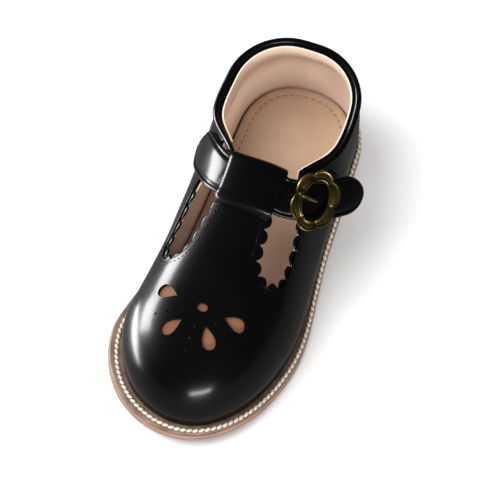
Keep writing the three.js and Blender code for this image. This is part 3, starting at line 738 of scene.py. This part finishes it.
def surface_normal(y, across):
    side = surface_point(y, across + 1 * mm) - surface_point(y, across - 1 * mm)
    forward = surface_point(y - 1 * mm, across) - surface_point(y + 1 * mm, across)
    return forward.cross(side).normalized()


def on_upper(y, across, lift=0.0):
    return surface_point(y, across) + surface_normal(y, across) * lift


def last_grid(depth, columns, rows):
    """The last's own surface at a depth, as a grid of sections."""
    _, _, heel, toe = feather_sides(depth)

    def place(u, v):
        share = v * 0.1 + cosine_share(v) * 0.9
        return Vector(section(heel + (toe - heel) * share, depth, columns)[round(u * columns)])

    return shaped_grid(columns, rows, place)


strap_width = 14 * mm
strap_thickness = 1.8 * mm
loop_thickness = 1.5 * mm
t_width = 19 * mm
opening_reach = 29 * mm
scallop_pitch = 5.4 * mm
scallop_depth = 2 * mm
strap_place = along_foot(0.45)
tongue_end = strap_place + strap_width / 2 + loop_thickness + clearance
collar_rows = table(
    "at inner outer",
    (-0.1, 1.0, 1.0),
    (0.04, 1.0, 1.0),
    (0.14, 0.955, 0.955),
    (0.22, 0.905, 0.885),
    (0.3, 0.905, 0.865),
    (0.37, 0.97, 0.885),
    (0.44, 1.02, 0.93),
)
collar_curves = {side: curve_through(collar_rows, side) for side in ("inner", "outer")}


def collar_level(y, side, drop=0.0):
    return foot_height + collar_height * collar_curves[side](share_at(y)) - drop


def extruded(mesh):
    """Extrudes all of a sheet and gives its new points."""
    grown = bmesh.ops.extrude_face_region(mesh, geom=mesh.faces[:])
    return [item for item in grown["geom"] if isinstance(item, bmesh.types.BMVert)]


def collar_cutter(drop):
    """A block that holds all that lies over the collar's line."""
    back = heel_end + 2 * heel_lean
    reach = 0.55 * ball_width

    def place(u, v):
        y = back + (tongue_end - back) * v
        level = {side: collar_level(y, side, drop) for side in ("inner", "outer")}
        return Vector(((2 * u - 1) * reach, y, level["inner"] * (1 - u) + level["outer"] * u))

    mesh = shaped_grid(1, 40, place)
    for vert in extruded(mesh):
        vert.co.z = foot_height + 2 * instep_height
    return mesh


opening_front = strap_place - opening_reach
opening_rear = strap_place + strap_width + 2 * clearance
opening_round = 0.2
scallop_rear = strap_place - strap_width / 2 + scallop_pitch
side_openings = {
    "inner": table(
        "at middle half",
        (0.0, 1.06, 0.4),
        (0.2, 1.04, 0.42),
        (0.45, 0.98, 0.46),
        (0.62, 0.94, 0.44),
        (0.8, 0.83, 0.34),
        (1.0, 0.73, 0.26),
    ),
    "outer": table(
        "at middle half",
        (0.0, 1.0, 0.4),
        (0.2, 0.98, 0.4),
        (0.45, 0.91, 0.42),
        (0.62, 0.83, 0.36),
        (0.8, 0.65, 0.2),
        (1.0, 0.6, 0.16),
    ),
}


def opening_edge(side, from_share, to_share, steps):
    """An opening's edge from the T strap round the front to the quarter: places and distances."""
    sign = -1 if side == "inner" else 1
    middle = curve_through(side_openings[side], "middle")
    half = curve_through(side_openings[side], "half")
    span = opening_rear - opening_front
    points = []
    for i in range(-steps, steps + 1):
        end = from_share if i < 0 else to_share
        share = end * (abs(i) / steps) ** 2
        edge = (-1 if i < 0 else 1) if i else 0
        width = half(share) * round_end(-opening_round, 0, -share, 2)
        points.append((opening_front + share * span, sign * (middle(share) + edge * width) * t_width))
    return np.array(points)


def cutter_through(outline, under, over):
    """A closed cutter along an outline on the upper, from a depth under it to a height over it."""
    mesh = bmesh.new()
    bmesh.ops.create_circle(mesh, cap_ends=True, segments=len(outline), radius=1)
    mesh.verts.ensure_lookup_table()
    for vert, (y, across) in zip(mesh.verts, outline):
        vert.co = on_upper(y, across, -under)
    low = mesh.verts[:]
    for vert in extruded(mesh):
        nearest = min(range(len(low)), key=lambda i: (low[i].co - vert.co).length_squared)
        vert.co = on_upper(*outline[nearest], over)
    return mesh


def evaluated(piece):
    """Applies a piece's modifiers to its mesh."""
    graph = bpy.context.evaluated_depsgraph_get()
    data = bpy.data.meshes.new_from_object(piece.evaluated_get(graph))
    piece.modifiers.clear()
    old = piece.data
    piece.data = data
    bpy.data.meshes.remove(old)


def thickened(piece, thickness):
    solidify = piece.modifiers.new("thickness", "SOLIDIFY")
    solidify.thickness = thickness
    solidify.offset = -1
    solidify.use_even_offset = True
    evaluated(piece)


cut_edge_angle = math.radians(40)


def cut_away(piece, cutters):
    """Cuts closed shapes out of a closed piece and smooths what is left, but not over its edges."""
    for i, mesh in enumerate(cutters):
        tool = finished(f"cutter_{i}", mesh)
        cut = piece.modifiers.new("cut", "BOOLEAN")
        cut.solver = "MANIFOLD"
        cut.object = tool
        evaluated(piece)
        bpy.data.objects.remove(tool)
    piece.data.materials.clear()
    piece.data.shade_smooth()
    piece.data.set_sharp_from_angle(angle=cut_edge_angle)


teardrop_length = 8.4 * mm
teardrop_width = 5.4 * mm
oval_length = 3.9 * mm
oval_width = 3 * mm
pattern_reach = 12.2 * mm
pattern_place = along_foot(0.75)
pattern_turn = -0.14
teardrop_rows = table(
    "turn reach",
    (-1.62, 1.17),
    (-0.6, 0.98),
    (0.66, 0.89),
    (1.62, 1.02),
)
pinhole_radius = 0.45 * mm
pinhole_rows = table(
    "turn reaches",
    (-1.08, (0.62, 0.98, 1.36)),
    (0.06, (0.6, 0.95, 1.3)),
    (1.12, (0.62, 0.96, 1.3)),
)


def on_vamp(outline, turn, reach):
    """Places an outline on the vamp: turned about the oval and moved out from it."""
    angle = turn + pattern_turn
    points = []
    for along, side in outline:
        out = reach + along
        y = pattern_place - out * math.cos(angle) + side * math.sin(angle)
        points.append((y, out * math.sin(angle) + side * math.cos(angle)))
    return points


def teardrop(steps=28):
    """A drop with its point towards the oval."""
    points = []
    for i in range(steps):
        turn = math.tau * i / steps
        rounded = math.sin(turn) * math.sin(turn / 2) ** 1.3
        points.append((-math.cos(turn) * teardrop_length / 2, rounded * teardrop_width / 1.6))
    return points


def oval(length, width, steps=24):
    turns = [math.tau * i / steps for i in range(steps)]
    return [(math.cos(turn) * width / 2, math.sin(turn) * length / 2) for turn in turns]


opening_cut = {"under": 4 * mm, "over": 3 * mm}
punched_cut = {"under": 3 * mm, "over": 2 * mm}
polished_leather = grained_finish(
    "polished_leather",
    base=(0.0015, 0.0015, 0.0018),
    roughness=0.3,
    scales=(45, 1500),
    shades=((0.0008, 0.0008, 0.0011), (0.0018, 0.0018, 0.0022)),
    bump=(0.12, 0.04 * mm),
)
gloss = polished_leather.node_tree.nodes["Principled BSDF"]
gloss.inputs["Specular IOR Level"].default_value = 0.12
gloss.inputs["Coat Weight"].default_value = 0.2
gloss.inputs["Coat Roughness"].default_value = 0.17
upper = finished("upper_leather", last_grid(0.0, 150, 190))
thickened(upper, leather)
punched = [on_vamp(teardrop(), row["turn"], row["reach"] * pattern_reach) for row in teardrop_rows]
punched.append(on_vamp(oval(oval_length, oval_width), 0, 0))
for row in pinhole_rows:
    for reach in row["reaches"]:
        pinhole = oval(2 * pinhole_radius, 2 * pinhole_radius, 10)
        punched.append(on_vamp(pinhole, row["turn"], reach * pattern_reach))
cutters = [collar_cutter(0.0)]
for side in side_openings:
    cutters.append(cutter_through(opening_edge(side, 1.0, 1.0, 44), **opening_cut))
for outline in punched:
    cutters.append(cutter_through(outline, **punched_cut))
cut_away(upper, cutters)
upper.data.materials.append(polished_leather)
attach(upper, "root")
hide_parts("upper")

# Lining
# Soft beige leather inside the upper, padded at the collar. It backs the punched pattern.
lining_depth = leather + 0.15 * mm
lining_thickness = 0.5 * mm
collar_padding = 1.3 * mm
padding_reach = 17 * mm
heel_middle = 34 * mm
lining_cut = {"under": 5 * mm, "over": 3 * mm}


def lining_pad(point):
    """The collar's padding swells inwards under the collar's line."""
    y = point[1]
    side = "inner" if point[0] < 0 else "outer"
    below = collar_level(y, side) - point[2]
    rear = 1 - ease_between(0.3, 0.42, share_at(y))
    return collar_padding * rear * math.sin(math.pi * min(max((below + 1 * mm) / padding_reach, 0), 1))


def make_lining_leather():
    """Pinkish beige at the collar, and a dark brown towards the toe: partly the lining's own brown, partly
    painted shade of the deep toe interior.
    """
    material, tree, shader = new_finish("lining_leather", (0.75, 0.6, 0.5), 0.6)
    shader.inputs["Specular IOR Level"].default_value = 0.15
    pattern = add_mottle(tree, 40, 1500)
    shade = blend_colours(tree, pattern.outputs["Cloud"], (0.74, 0.57, 0.46), (0.86, 0.7, 0.59))
    places = tree.nodes.new("ShaderNodeTexCoord")
    split = tree.nodes.new("ShaderNodeSeparateXYZ")
    tree.links.new(places.outputs["Object"], split.inputs["Vector"])
    # Towards the toe the lining's colour turns dark brown: partly its own colour, partly painted shade of
    # the deep toe seen through the punched pattern.
    toe_brown_and_shade = tree.nodes.new("ShaderNodeMapRange")
    toe_brown_and_shade.interpolation_type = "SMOOTHSTEP"
    toe_brown_and_shade.inputs["From Min"].default_value = along_foot(0.5)
    toe_brown_and_shade.inputs["From Max"].default_value = along_foot(0.66)
    tree.links.new(split.outputs["Y"], toe_brown_and_shade.inputs["Value"])
    mix = tree.nodes.new("ShaderNodeMix")
    mix.data_type = "RGBA"
    mix.inputs["B"].default_value = (0.19, 0.085, 0.048, 1)
    tree.links.new(toe_brown_and_shade.outputs["Result"], mix.inputs["Factor"])
    tree.links.new(shade, mix.inputs["A"])
    tree.links.new(mix.outputs["Result"], shader.inputs["Base Color"])
    add_bump(tree, shader, pattern.outputs["Grain"], 0.25, 0.06 * mm)
    return material


lining_mesh = last_grid(lining_depth, 110, 150)
for vert in lining_mesh.verts:
    toward_middle = Vector((-vert.co.x, heel_middle - vert.co.y, 0)).normalized()
    vert.co += toward_middle * lining_pad(vert.co)
lining = finished("lining", lining_mesh)
thickened(lining, lining_thickness)
lining_cutters = [collar_cutter(0.4 * mm)]
for side in side_openings:
    lining_cutters.append(cutter_through(opening_edge(side, 1.0, 1.0, 44), **lining_cut))
cut_away(lining, lining_cutters)
lining.data.materials.append(make_lining_leather())
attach(lining, "root")
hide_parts("upper")

# Collar edge
# The black leather is turned over the padding and stitched down, so the collar ends in a soft roll.
roll_width = 1.5 * mm
roll_height = 1.7 * mm
roll_drop = 0.5 * mm


def back_place(level_at):
    """The place at the back of the heel where the middle of the upper passes a level."""
    low, high = along_foot(0.1), heel_end
    for _ in range(40):
        y = (low + high) / 2
        if section(y)[crown][2] > level_at(y):
            low = y
        else:
            high = y
    return y


def collar_path(count, steps=90):
    """Evenly spaced points along the collar, from the inner front round the heel."""
    heel_y = back_place(lambda y: collar_level(y, "inner"))
    points = []
    for side, order in (("inner", range(steps, 0, -1)), ("outer", range(0, steps + 1))):
        for i in order:
            y = heel_y - (heel_y - tongue_end) * (1 - math.cos(math.pi / 2 * i / steps))
            outline = section(y)
            half = outline[: crown + 1] if side == "inner" else outline[: crown - 1 : -1]
            level = collar_level(y, side)
            points.append([np.interp(level, half[:, 2], values) for values in half.T])
    return spaced_path(np.array(points), count)


def path_frames(path, up):
    """For each point of a path: the point, its direction, its side and its upward direction."""
    frames = []
    for i, point in enumerate(path):
        along = Vector(path[min(i + 1, len(path) - 1)]) - Vector(path[max(i - 1, 0)])
        along.normalize()
        side = along.cross(up).normalized()
        frames.append((Vector(point), along, side, side.cross(along).normalized()))
    return frames


def tube_mesh(frames, profile, columns=16):
    """A tube through a list of frames; the profile gives side and up for a turn and a share."""
    rows = len(frames) - 1

    def place(u, v):
        point, _, side, up = frames[round(v * rows)]
        across, lift = profile(math.tau * u, v)
        return point + side * across + up * lift

    mesh = shaped_grid(columns, rows, place)
    close_ends(mesh)
    return mesh


collar_frames = path_frames(collar_path(170), Vector((0, 0, 1)))


def roll_profile(turn, v):
    """A soft oval that closes at both ends of the collar."""
    end = min(v, 1 - v) * 40
    size = math.sqrt(min(end, 1)) * 0.999 + 0.001
    out = -0.45 * roll_width - 0.1 * mm
    side = out + math.cos(turn) * roll_width * size * 0.75
    return side, math.sin(turn) * roll_height * size * 0.7 - roll_drop


collar_roll = finished("collar_roll", tube_mesh(collar_frames, roll_profile), polished_leather)
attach(collar_roll, "root")
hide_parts("upper")

# Heel seam
# The two quarters meet at the back of the heel under a narrow sewn strip.
seam_rows = 40
seam_half = 1.1 * mm
seam_proud = 0.25 * mm
seam_foot = foot_height + 0.6 * mm
seam_top = collar_level(heel_end, "inner") - 0.4 * mm


def heel_seam_point(u, v):
    z = seam_foot + (seam_top - seam_foot) * v
    y = back_place(lambda _: z)
    x = (2 * u - 1) * seam_half
    bulge = seam_proud * (1 - (2 * u - 1) ** 4)
    return Vector((x, y + float(lean(y, z)) + bulge, z))


heel_seam = finished("heel_seam", shaped_grid(8, seam_rows, heel_seam_point), polished_leather)
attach(heel_seam, "root")
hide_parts("upper")

# Scallop trim
# A scalloped strip of thinner black leather is sewn under the edge of each side opening, so a row of
# round lobes peeps out, with a line of fine stitches on the leather beside it.
trim_under = 2.4 * mm
trim_thickness = 0.7 * mm
edge_radius = 0.32 * mm
fine_stitch_pitch = 1.7 * mm
fine_stitch_in = 1.3 * mm
bead_depth = 0.25 * mm
lobe_dome = 0.45 * mm
scallop_share = (scallop_rear - opening_front) / (opening_rear - opening_front)
lobe_columns = 10
lobe_reach = 1.2 * scallop_depth


def edge_directions(points, sign):
    """The direction into the opening at each point of its edge."""
    along = np.gradient(points, axis=0)
    along /= np.linalg.norm(along, axis=1)[:, None]
    return np.stack([along[:, 1], -along[:, 0]], axis=1) * sign


for side, sign in (("inner", -1), ("outer", 1)):
    plain_edge = opening_edge(side, scallop_share, scallop_share, 40)
    edge = spaced_path(plain_edge, 400)
    columns = round(lengths_along(plain_edge)[-1] / scallop_pitch) * lobe_columns
    trim_edge = spaced_path(edge, columns + 1)
    inwards = edge_directions(trim_edge, sign)

    def trim_point(u, v):
        i = round(u * columns)
        lobe = math.sqrt(max(math.sin(math.pi * (i % lobe_columns) / lobe_columns), 0))
        reach = -trim_under + (trim_under + lobe_reach * lobe) * v
        y, across = trim_edge[i] + inwards[i] * reach
        over_lobe = min(max(reach / (lobe_reach * lobe + 0.1 * mm), 0), 1)
        dome = lobe_dome * lobe * math.sin(math.pi * over_lobe)
        return on_upper(y, across, -leather * 0.75 + dome)

    trim = finished(f"scallop_trim_{side}", shaped_grid(columns, 10, trim_point))
    thickened(trim, trim_thickness)
    trim.data.materials.append(polished_leather)
    bead_points = [on_upper(y, across, -bead_depth) for y, across in spaced_path(edge, 220)]
    bead_up = surface_normal(*edge[len(edge) // 2])
    bead = finished(
        f"opening_edge_{side}",
        tube_mesh(
            path_frames(bead_points, bead_up),
            lambda turn, v: (math.cos(turn) * edge_radius, math.sin(turn) * edge_radius),
        ),
        polished_leather,
    )
    stitch_line = edge - edge_directions(edge, sign) * fine_stitch_in
    fine_stitches = stitched(
        f"opening_stitches_{side}",
        polished_leather,
        np.array([on_upper(y, across, 0.02 * mm) for y, across in stitch_line]),
        fine_stitch_pitch,
        length=1.25 * mm,
        radius=0.17 * mm,
        up_at=lambda share, line=stitch_line: surface_normal(*line[round(share * (len(line) - 1))]),
    )
    for piece in (trim, bead, fine_stitches):
        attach(piece, "root")
        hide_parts("upper")

# Cross strap
# A strap of the same leather, its edges turned and stitched. It is sewn on the inner quarter, passes
# through the loop and the buckle, and its free tail stands off the quarter.
strap_reach = 31 * mm
strap_round = {"start": -0.78, "end": -1.06}
tail_round = {"start": 0.35, "end": 1.0}
buckle_gap = 10 * mm
tail_length = 12 * mm
buckle_width = 17.4 * mm
buckle_length = 22 * mm
loop_half = t_width / 2
buckle_at = loop_half + buckle_gap
tail_from = buckle_at + buckle_width / 3
inner_strap_rows = table(
    "at back",
    (0.0, 0.0),
    (0.39, 0.065),
    (0.68, 0.26),
    (0.94, 0.5),
    (1.16, 0.71),
)
outer_strap_rows = table(
    "at back out rise",
    (0.1, 0.0, 0.0, 0.0),
    (0.4, 0.041, 0.075, 0.085),
    (0.7, 0.157, 0.2, 0.19),
    (1.0, 0.335, 0.32, 0.28),
    (1.65, 0.82, 0.64, 0.44),
    (2.45, 1.75, 1.22, 0.75),
)
inner_back = curve_through(inner_strap_rows, "back")
outer_back = curve_through(outer_strap_rows, "back")
out_share = curve_through(outer_strap_rows, "out")
rise_share = curve_through(outer_strap_rows, "rise")


def past_loop(across):
    """How far past the loop's outer side, in gaps between loop and buckle."""
    return (across - loop_half) / buckle_gap


def strap_along(across):
    inner = strap_reach * inner_back(-across / strap_reach)
    return strap_place + inner + buckle_gap * outer_back(past_loop(across))


def strap_middle(across):
    leaves = Vector((out_share(past_loop(across)), 0, rise_share(past_loop(across)))) * buckle_gap
    return on_upper(strap_along(across), across, clearance) + leaves


@lru_cache(maxsize=None)
def strap_frame(across):
    """The strap's middle, its direction, its side towards the heel and its normal."""
    along = (strap_middle(across + 0.5 * mm) - strap_middle(across - 0.5 * mm)).normalized()
    up = surface_normal(strap_along(across), across)
    up = (up - along * up.dot(along)).normalized()
    return strap_middle(across), along, up.cross(along).normalized(), up


def in_frame(frame_axes, along, side, up):
    origin, forward, sideways, upwards = frame_axes
    return origin + forward * along + sideways * side + upwards * up


band_section = table(
    "side up",
    (-0.93, 0.0),
    (-1.0, 0.25),
    (-1.0, 0.6),
    (-0.96, 0.86),
    (-0.9, 0.98),
    (-0.84, 0.93),
    (-0.79, 0.72),
    (-0.74, 0.9),
    (-0.55, 1.0),
    (-0.2, 1.04),
)
band_section += [{"side": -row["side"], "up": row["up"]} for row in reversed(band_section)]
strap_rows = 120
tail_rows = 34
strap_steps = strap_rows + tail_rows
tail_droop = 12.0
crease_rows = table(
    "at side depth",
    (0.11, 0.45, 0.5),
    (0.16, -0.35, 0.55),
    (0.23, 0.2, 0.4),
    (0.32, -0.6, 0.35),
    (-1.06, 0.3, 0.3),
)
crease_lean = 1.2 * mm
crease_width = 0.45 * mm
crease_depth = 0.5 * mm


def crease(across, side):
    """Short folds where the strap bends beside the loop."""
    drop = 0.0
    for row in crease_rows:
        place = loop_half * (1 if row["at"] > 0 else 0) + row["at"] * buckle_gap
        lean_over = side * crease_lean * math.copysign(1, row["side"])
        near = (across - place - lean_over) / crease_width
        middle = (side - row["side"]) / 0.55
        drop += row["depth"] * math.exp(-near * near - middle * middle)
    return drop * crease_depth


def strap_point(u, v):
    row = band_section[round(u * len(band_section)) % len(band_section)]
    index = round(v * strap_steps)
    upper_face = 1 if row["up"] > 0.7 else 0
    if index <= strap_rows:
        across = -strap_reach + (tail_from + strap_reach) * index / strap_rows
        rounded = round_end(**strap_round, at=across / strap_reach, power=2.4)
        side = row["side"] * strap_width / 2 * rounded
        up = row["up"] * strap_thickness - upper_face * crease(across, row["side"])
        return in_frame(strap_frame(across), 0, side, up)
    along = tail_length * math.sin(math.pi / 2 * (index - strap_rows) / tail_rows)
    rounded = round_end(**tail_round, at=along / tail_length, power=2)
    side = row["side"] * strap_width / 2 * rounded
    up = row["up"] * strap_thickness - tail_droop * along * along
    return in_frame(strap_frame(tail_from), along, side, up)


band_edge_angle = math.radians(60)


def leather_band(name, columns, rows, place):
    """A closed band of polished leather, with crisp edges and filled ends."""
    mesh = shaped_grid(columns, rows, place)
    close_ends(mesh)
    band = finished(name, mesh, polished_leather)
    band.data.set_sharp_from_angle(angle=band_edge_angle)
    return band


cross_strap = leather_band("cross_strap_leather", len(band_section), strap_steps, strap_point)
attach(cross_strap, "root")
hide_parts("cross_strap")

# Strap loop
# The end of the T strap is turned back over the cross strap and sewn down in front of it.
loop_over = clearance + strap_thickness + clearance
loop_front = -strap_width / 2 - 0.75 * loop_thickness
loop_back = strap_width / 2 + clearance
loop_outer = table(
    "start past level rise",
    (loop_front, -1.05, clearance, 0.1),
    (loop_front, -1.0, clearance, 0.5),
    (loop_front, -0.7, clearance, 1.0),
    (loop_front, -0.35, clearance, 1.5),
    (loop_front, 0.05, loop_over, 0.62),
    (loop_front, 0.55, loop_over, 0.97),
    (loop_front, 1.1, loop_over, 1.05),
    (loop_front, 1.7, loop_over, 0.88),
    (loop_front, 2.4, loop_over, 0.86),
    (0.0, 0.0, loop_over, 1.0),
    (loop_back, -2, loop_over, 1.0),
    (loop_back, -0.6, loop_over, 0.97),
    (loop_back, 0.1, loop_over, 0.8),
    (loop_back, 0.6, loop_over, 0.35),
    (loop_back, 0.95, loop_over, -0.4),
    (loop_back, 1.0, clearance, 0.5),
    (loop_back, 0.9, clearance, 0.1),
)
loop_inner = table(
    "start past level rise",
    (loop_back, 0.2, clearance, 0.1),
    (loop_back, 0.1, loop_over, -0.5),
    (loop_back, -0.3, loop_over, 0.0),
    (loop_front, 0.8, loop_over, 0.0),
    (loop_front, 0.1, clearance, 0.1),
)
loop_path = loop_outer + loop_inner
loop_columns = 44
loop_edge_ease = 0.35 * mm


def loop_point(u, v):
    row = loop_path[round(u * len(loop_path)) % len(loop_path)]
    share = 2 * v - 1
    across = share * loop_half
    y = row["start"] + row["past"] * loop_thickness
    up = row["level"] + row["rise"] * loop_thickness
    if row in loop_outer and up > loop_over:
        up -= loop_edge_ease * max(abs(share) * 8 - 7, 0) ** 2
    return on_upper(strap_along(across) + y, across, up)


strap_loop = leather_band("strap_loop_leather", len(loop_path), loop_columns, loop_point)
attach(strap_loop, "root")
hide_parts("strap_loop")

# Buckle
# A cast antique brass flower: an oval frame with rounded petals, a bar under the strap on two posts,
# and a plain prong.
buckle_turn = 0.4
hole_length = 14.4 * mm
hole_width = 8.8 * mm
buckle_thickness = 1.8 * mm
petals = 6
petal_depth = 1.7 * mm
bar_radius = 0.7 * mm
prong_radius = 0.75 * mm


def flat_frame():
    """The buckle lies flat on the strap, turned a little about the strap's normal."""
    origin, _, _, up = strap_frame(buckle_at)
    along = (strap_frame(tail_from)[0] - strap_frame(buckle_at - buckle_width / 3)[0]).normalized()
    up = (up - along * up.dot(along)).normalized()
    along = Matrix.Rotation(-buckle_turn, 3, up) @ along
    return origin, along, up.cross(along), up


buckle_axes = flat_frame()
bar_end = (strap_width / 2 + clearance + bar_radius) / math.cos(buckle_turn) + clearance
bar_reach = bar_end * math.sin(buckle_turn) + 2 * bar_radius


def strap_heights(reach):
    """How high the strap's points lie over the buckle's plane, near the bar."""
    heights = []
    for vert in cross_strap.data.vertices:
        out = vert.co - shoe_origin - buckle_axes[0]
        if abs(out.dot(buckle_axes[1])) < reach:
            heights.append(out.dot(buckle_axes[3]))
    return heights


frame_under = max(strap_heights(buckle_width / 2)) + clearance
bar_top = min(strap_heights(bar_reach)) - clearance
rim_section = table(
    "across up",
    (0.0, 0.0),
    (0.0, 0.7),
    (0.04, 0.92),
    (0.1, 1.0),
    (0.16, 0.92),
    (0.2, 0.76),
    (0.34, 0.76),
    (0.5, 0.8),
    (0.66, 0.76),
    (0.8, 0.7),
    (0.84, 0.8),
    (0.9, 0.84),
    (0.96, 0.76),
    (1.0, 0.5),
    (1.0, 0.1),
    (0.97, 0.0),
    (0.5, 0.0),
)
dish_top = 0.81
dish_from = 0.36
dish_to = 0.46
rim_steps = 180


def buckle_point(u, v):
    """The rim is a closed band; each petal bulges out and up between two creases."""
    row = rim_section[round(v * len(rim_section)) % len(rim_section)]
    turn = math.tau * u
    petal = abs(math.sin(petals * turn / 2))
    bulge = petal**0.55
    outer_length = buckle_length / 2 + petal_depth * (bulge - 1)
    outer_width = buckle_width / 2 + petal_depth * (bulge - 1)
    side = math.sin(turn) * (hole_length / 2 + (outer_length - hole_length / 2) * row["across"])
    along = math.cos(turn) * (hole_width / 2 + (outer_width - hole_width / 2) * row["across"])
    crease_drop = 0.32 * (1 - bulge) * math.sin(math.pi * min(row["across"], 1)) * (row["up"] > 0.3)
    up = frame_under + buckle_thickness * (row["up"] - crease_drop)
    return in_frame(buckle_axes, along, side, up)


def rod_mesh(points, radii):
    """A round rod through points of the buckle's frame."""
    path = [in_frame(buckle_axes, *point) for point in points]
    is_sideways = abs(points[0][1] - points[-1][1]) > mm
    frames = path_frames(path, buckle_axes[1] if is_sideways else buckle_axes[3])

    def profile(turn, v):
        radius = radii[round(v * (len(radii) - 1))]
        return math.cos(turn) * radius, math.sin(turn) * radius

    return tube_mesh(frames, profile)


def make_brass(name, dark, light, roughness):
    grain = (0.2, 0.05 * mm)
    return grained_finish(name, light, roughness, (220, 1800), (dark, light), grain, 1.0, (0.35, 0.65))


antique_brass = make_brass("antique_brass", (0.15, 0.11, 0.04), (0.27, 0.21, 0.085), 0.36)
darkened_brass = make_brass("darkened_brass", (0.06, 0.043, 0.014), (0.125, 0.09, 0.028), 0.45)
buckle_mesh = shaped_grid(rim_steps, len(rim_section), buckle_point)
for face in buckle_mesh.faces:
    centre = face.calc_center_median() - buckle_axes[0]
    height = (centre.dot(buckle_axes[3]) - frame_under) / buckle_thickness
    along = centre.dot(buckle_axes[1]) / buckle_width
    side = centre.dot(buckle_axes[2]) / buckle_length
    is_dish = 0.5 < height < dish_top and dish_from < math.hypot(along, side) < dish_to
    face.material_index = 1 if is_dish else 0
buckle = finished("buckle_flower", buckle_mesh, antique_brass, darkened_brass)
bar_level = bar_top - bar_radius
bar_points = [(0, -bar_end + 2 * bar_end * i / 12, bar_level) for i in range(13)]
buckle_bar = finished("buckle_bar", rod_mesh(bar_points, [bar_radius] * 13), antique_brass)
buckle_pieces = [buckle, buckle_bar]
post_foot = bar_level - bar_radius
post_height = frame_under + mm - bar_level
for end, name in ((-bar_end, "front"), (bar_end, "rear")):
    post_points = [(0, end, post_foot + post_height * i / 6) for i in range(7)]
    post_mesh = rod_mesh(post_points, [bar_radius] * 7)
    buckle_pieces.append(finished(f"buckle_post_{name}", post_mesh, antique_brass))
for piece in buckle_pieces:
    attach(piece, "root")
    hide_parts("buckle_frame")

prong_lift = max(strap_heights(bar_reach)) + clearance + prong_radius
prong_over = frame_under + buckle_thickness + prong_radius + 0.5 * clearance
rim_width = (buckle_width - hole_width) / 2
prong_rows = table(
    "along up radius",
    (0.9 * mm, prong_lift, 0.35),
    (0.6 * mm, prong_lift, 0.8),
    (0.0, prong_lift, 1.0),
    (rim_width * 0.5 - hole_width / 2, prong_lift + 0.5 * prong_radius, 1.0),
    (rim_width * 0.2 - hole_width / 2, (prong_lift + prong_over) / 2, 0.98),
    (-hole_width / 2, prong_over, 0.92),
    (-rim_width * 0.3 - hole_width / 2, prong_over + 0.05 * mm, 0.8),
    (-rim_width * 0.5 - hole_width / 2, prong_over - 0.1 * mm, 0.62),
    (-rim_width * 0.56 - hole_width / 2, prong_over - 0.15 * mm, 0.3),
)
prong_points = [(row["along"], 0, row["up"]) for row in prong_rows]
prong_radii = [row["radius"] * prong_radius for row in prong_rows]
prong = finished("buckle_prong_rod", rod_mesh(prong_points, prong_radii), antique_brass)
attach(prong, "root")
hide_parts("buckle_prong")

# Buckle tab
# A short band of leather that holds the bar and is sewn down on the outer quarter.
tab_width = 9 * mm
tab_length = 20 * mm
tab_thickness = 1.3 * mm
tab_turn = 0.65
tab_drop = 0.42
tab_round = {"start": 0.65, "end": 1.03}
under_bar = bar_top - 2 * bar_radius - clearance - tab_thickness


def tab_point(u, v):
    row = band_section[round(u * len(band_section)) % len(band_section)]
    out = tab_length * v
    half = tab_width / 2 * round_end(**tab_round, at=v, power=2)
    level = row["up"] * tab_thickness
    side = row["side"] * half
    along = out * math.cos(tab_turn) - side * math.sin(tab_turn)
    across = out * math.sin(tab_turn) + side * math.cos(tab_turn)
    start = buckle_at + out_share(past_loop(buckle_at)) * buckle_gap
    sewn = on_upper(strap_along(buckle_at) + along, start + across, 1.5 * clearance + level)
    held = in_frame(buckle_axes, across, along, under_bar + level)
    return held.lerp(sewn, ease_between(0, tab_drop, v))


tab = leather_band("buckle_tab_leather", len(band_section), 40, tab_point)
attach(tab, "root")
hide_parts("buckle_tab")

# Studio
# A plain pale floor under large soft lights: one on the inner side, a low one in front, and a
# card on the floor that brightens the leather's lower edge.
floor_mesh = bmesh.new()
bmesh.ops.create_grid(floor_mesh, x_segments=1, y_segments=1, size=3)
floor_data = bpy.data.meshes.new("floor")
floor_mesh.to_mesh(floor_data)
floor_mesh.free()
floor = bpy.data.objects.new("floor", floor_data)
bpy.context.scene.collection.objects.link(floor)


def dimmer_in_gloss(tree, shown, mirrored):
    """A grey that is darker where gloss mirrors it, as dark cards beside the shoe make it."""
    path = tree.nodes.new("ShaderNodeLightPath")
    mix = tree.nodes.new("ShaderNodeMix")
    mix.data_type = "RGBA"
    mix.inputs["A"].default_value = (shown, shown, shown, 1)
    mix.inputs["B"].default_value = (mirrored, mirrored, mirrored, 1)
    tree.links.new(path.outputs["Is Glossy Ray"], mix.inputs["Factor"])
    return mix.outputs["Result"]


pale_floor, floor_tree, floor_shader = new_finish("pale_floor", (0.8, 0.8, 0.8), 0.8)
floor_tree.links.new(dimmer_in_gloss(floor_tree, 0.88, 0.16), floor_shader.inputs["Base Color"])
floor.data.materials.append(pale_floor)

world = bpy.data.worlds.new("studio")
world.use_nodes = True
world_shade = dimmer_in_gloss(world.node_tree, 0.66, 0.05)
world.node_tree.links.new(world_shade, world.node_tree.nodes["Background"].inputs["Color"])
bpy.context.scene.world = world
bpy.context.scene.view_settings.view_transform = "Standard"


def add_light(name, size, power, turn=0, height=0, distance=1.0):
    light = bpy.data.objects.new(name, bpy.data.lights.new(name, "AREA"))
    light.data.shape = "RECTANGLE"
    light.data.size, light.data.size_y = size
    light.data.energy = power
    face_the_shoe(light, turn, height, distance)
    bpy.context.scene.collection.objects.link(light)
    return light


streak = add_light("inner_side", (0.36, 0.38), 20, turn=-98, height=13)
add_light("front", (0.6, 0.12), 9, turn=25, height=11)
glow = add_light("floor_glow", (0.34, 0.08), 3)
glow.location = (-0.26, -0.05, 0.002)
glow.rotation_euler = (math.pi, 0, 0)
fill = add_light("fill", (1.3, 1.3), 32, turn=-65, height=60, distance=1.6)
fill.visible_glossy = False
for light in (streak, glow):
    light.visible_diffuse = False
    light.visible_camera = False
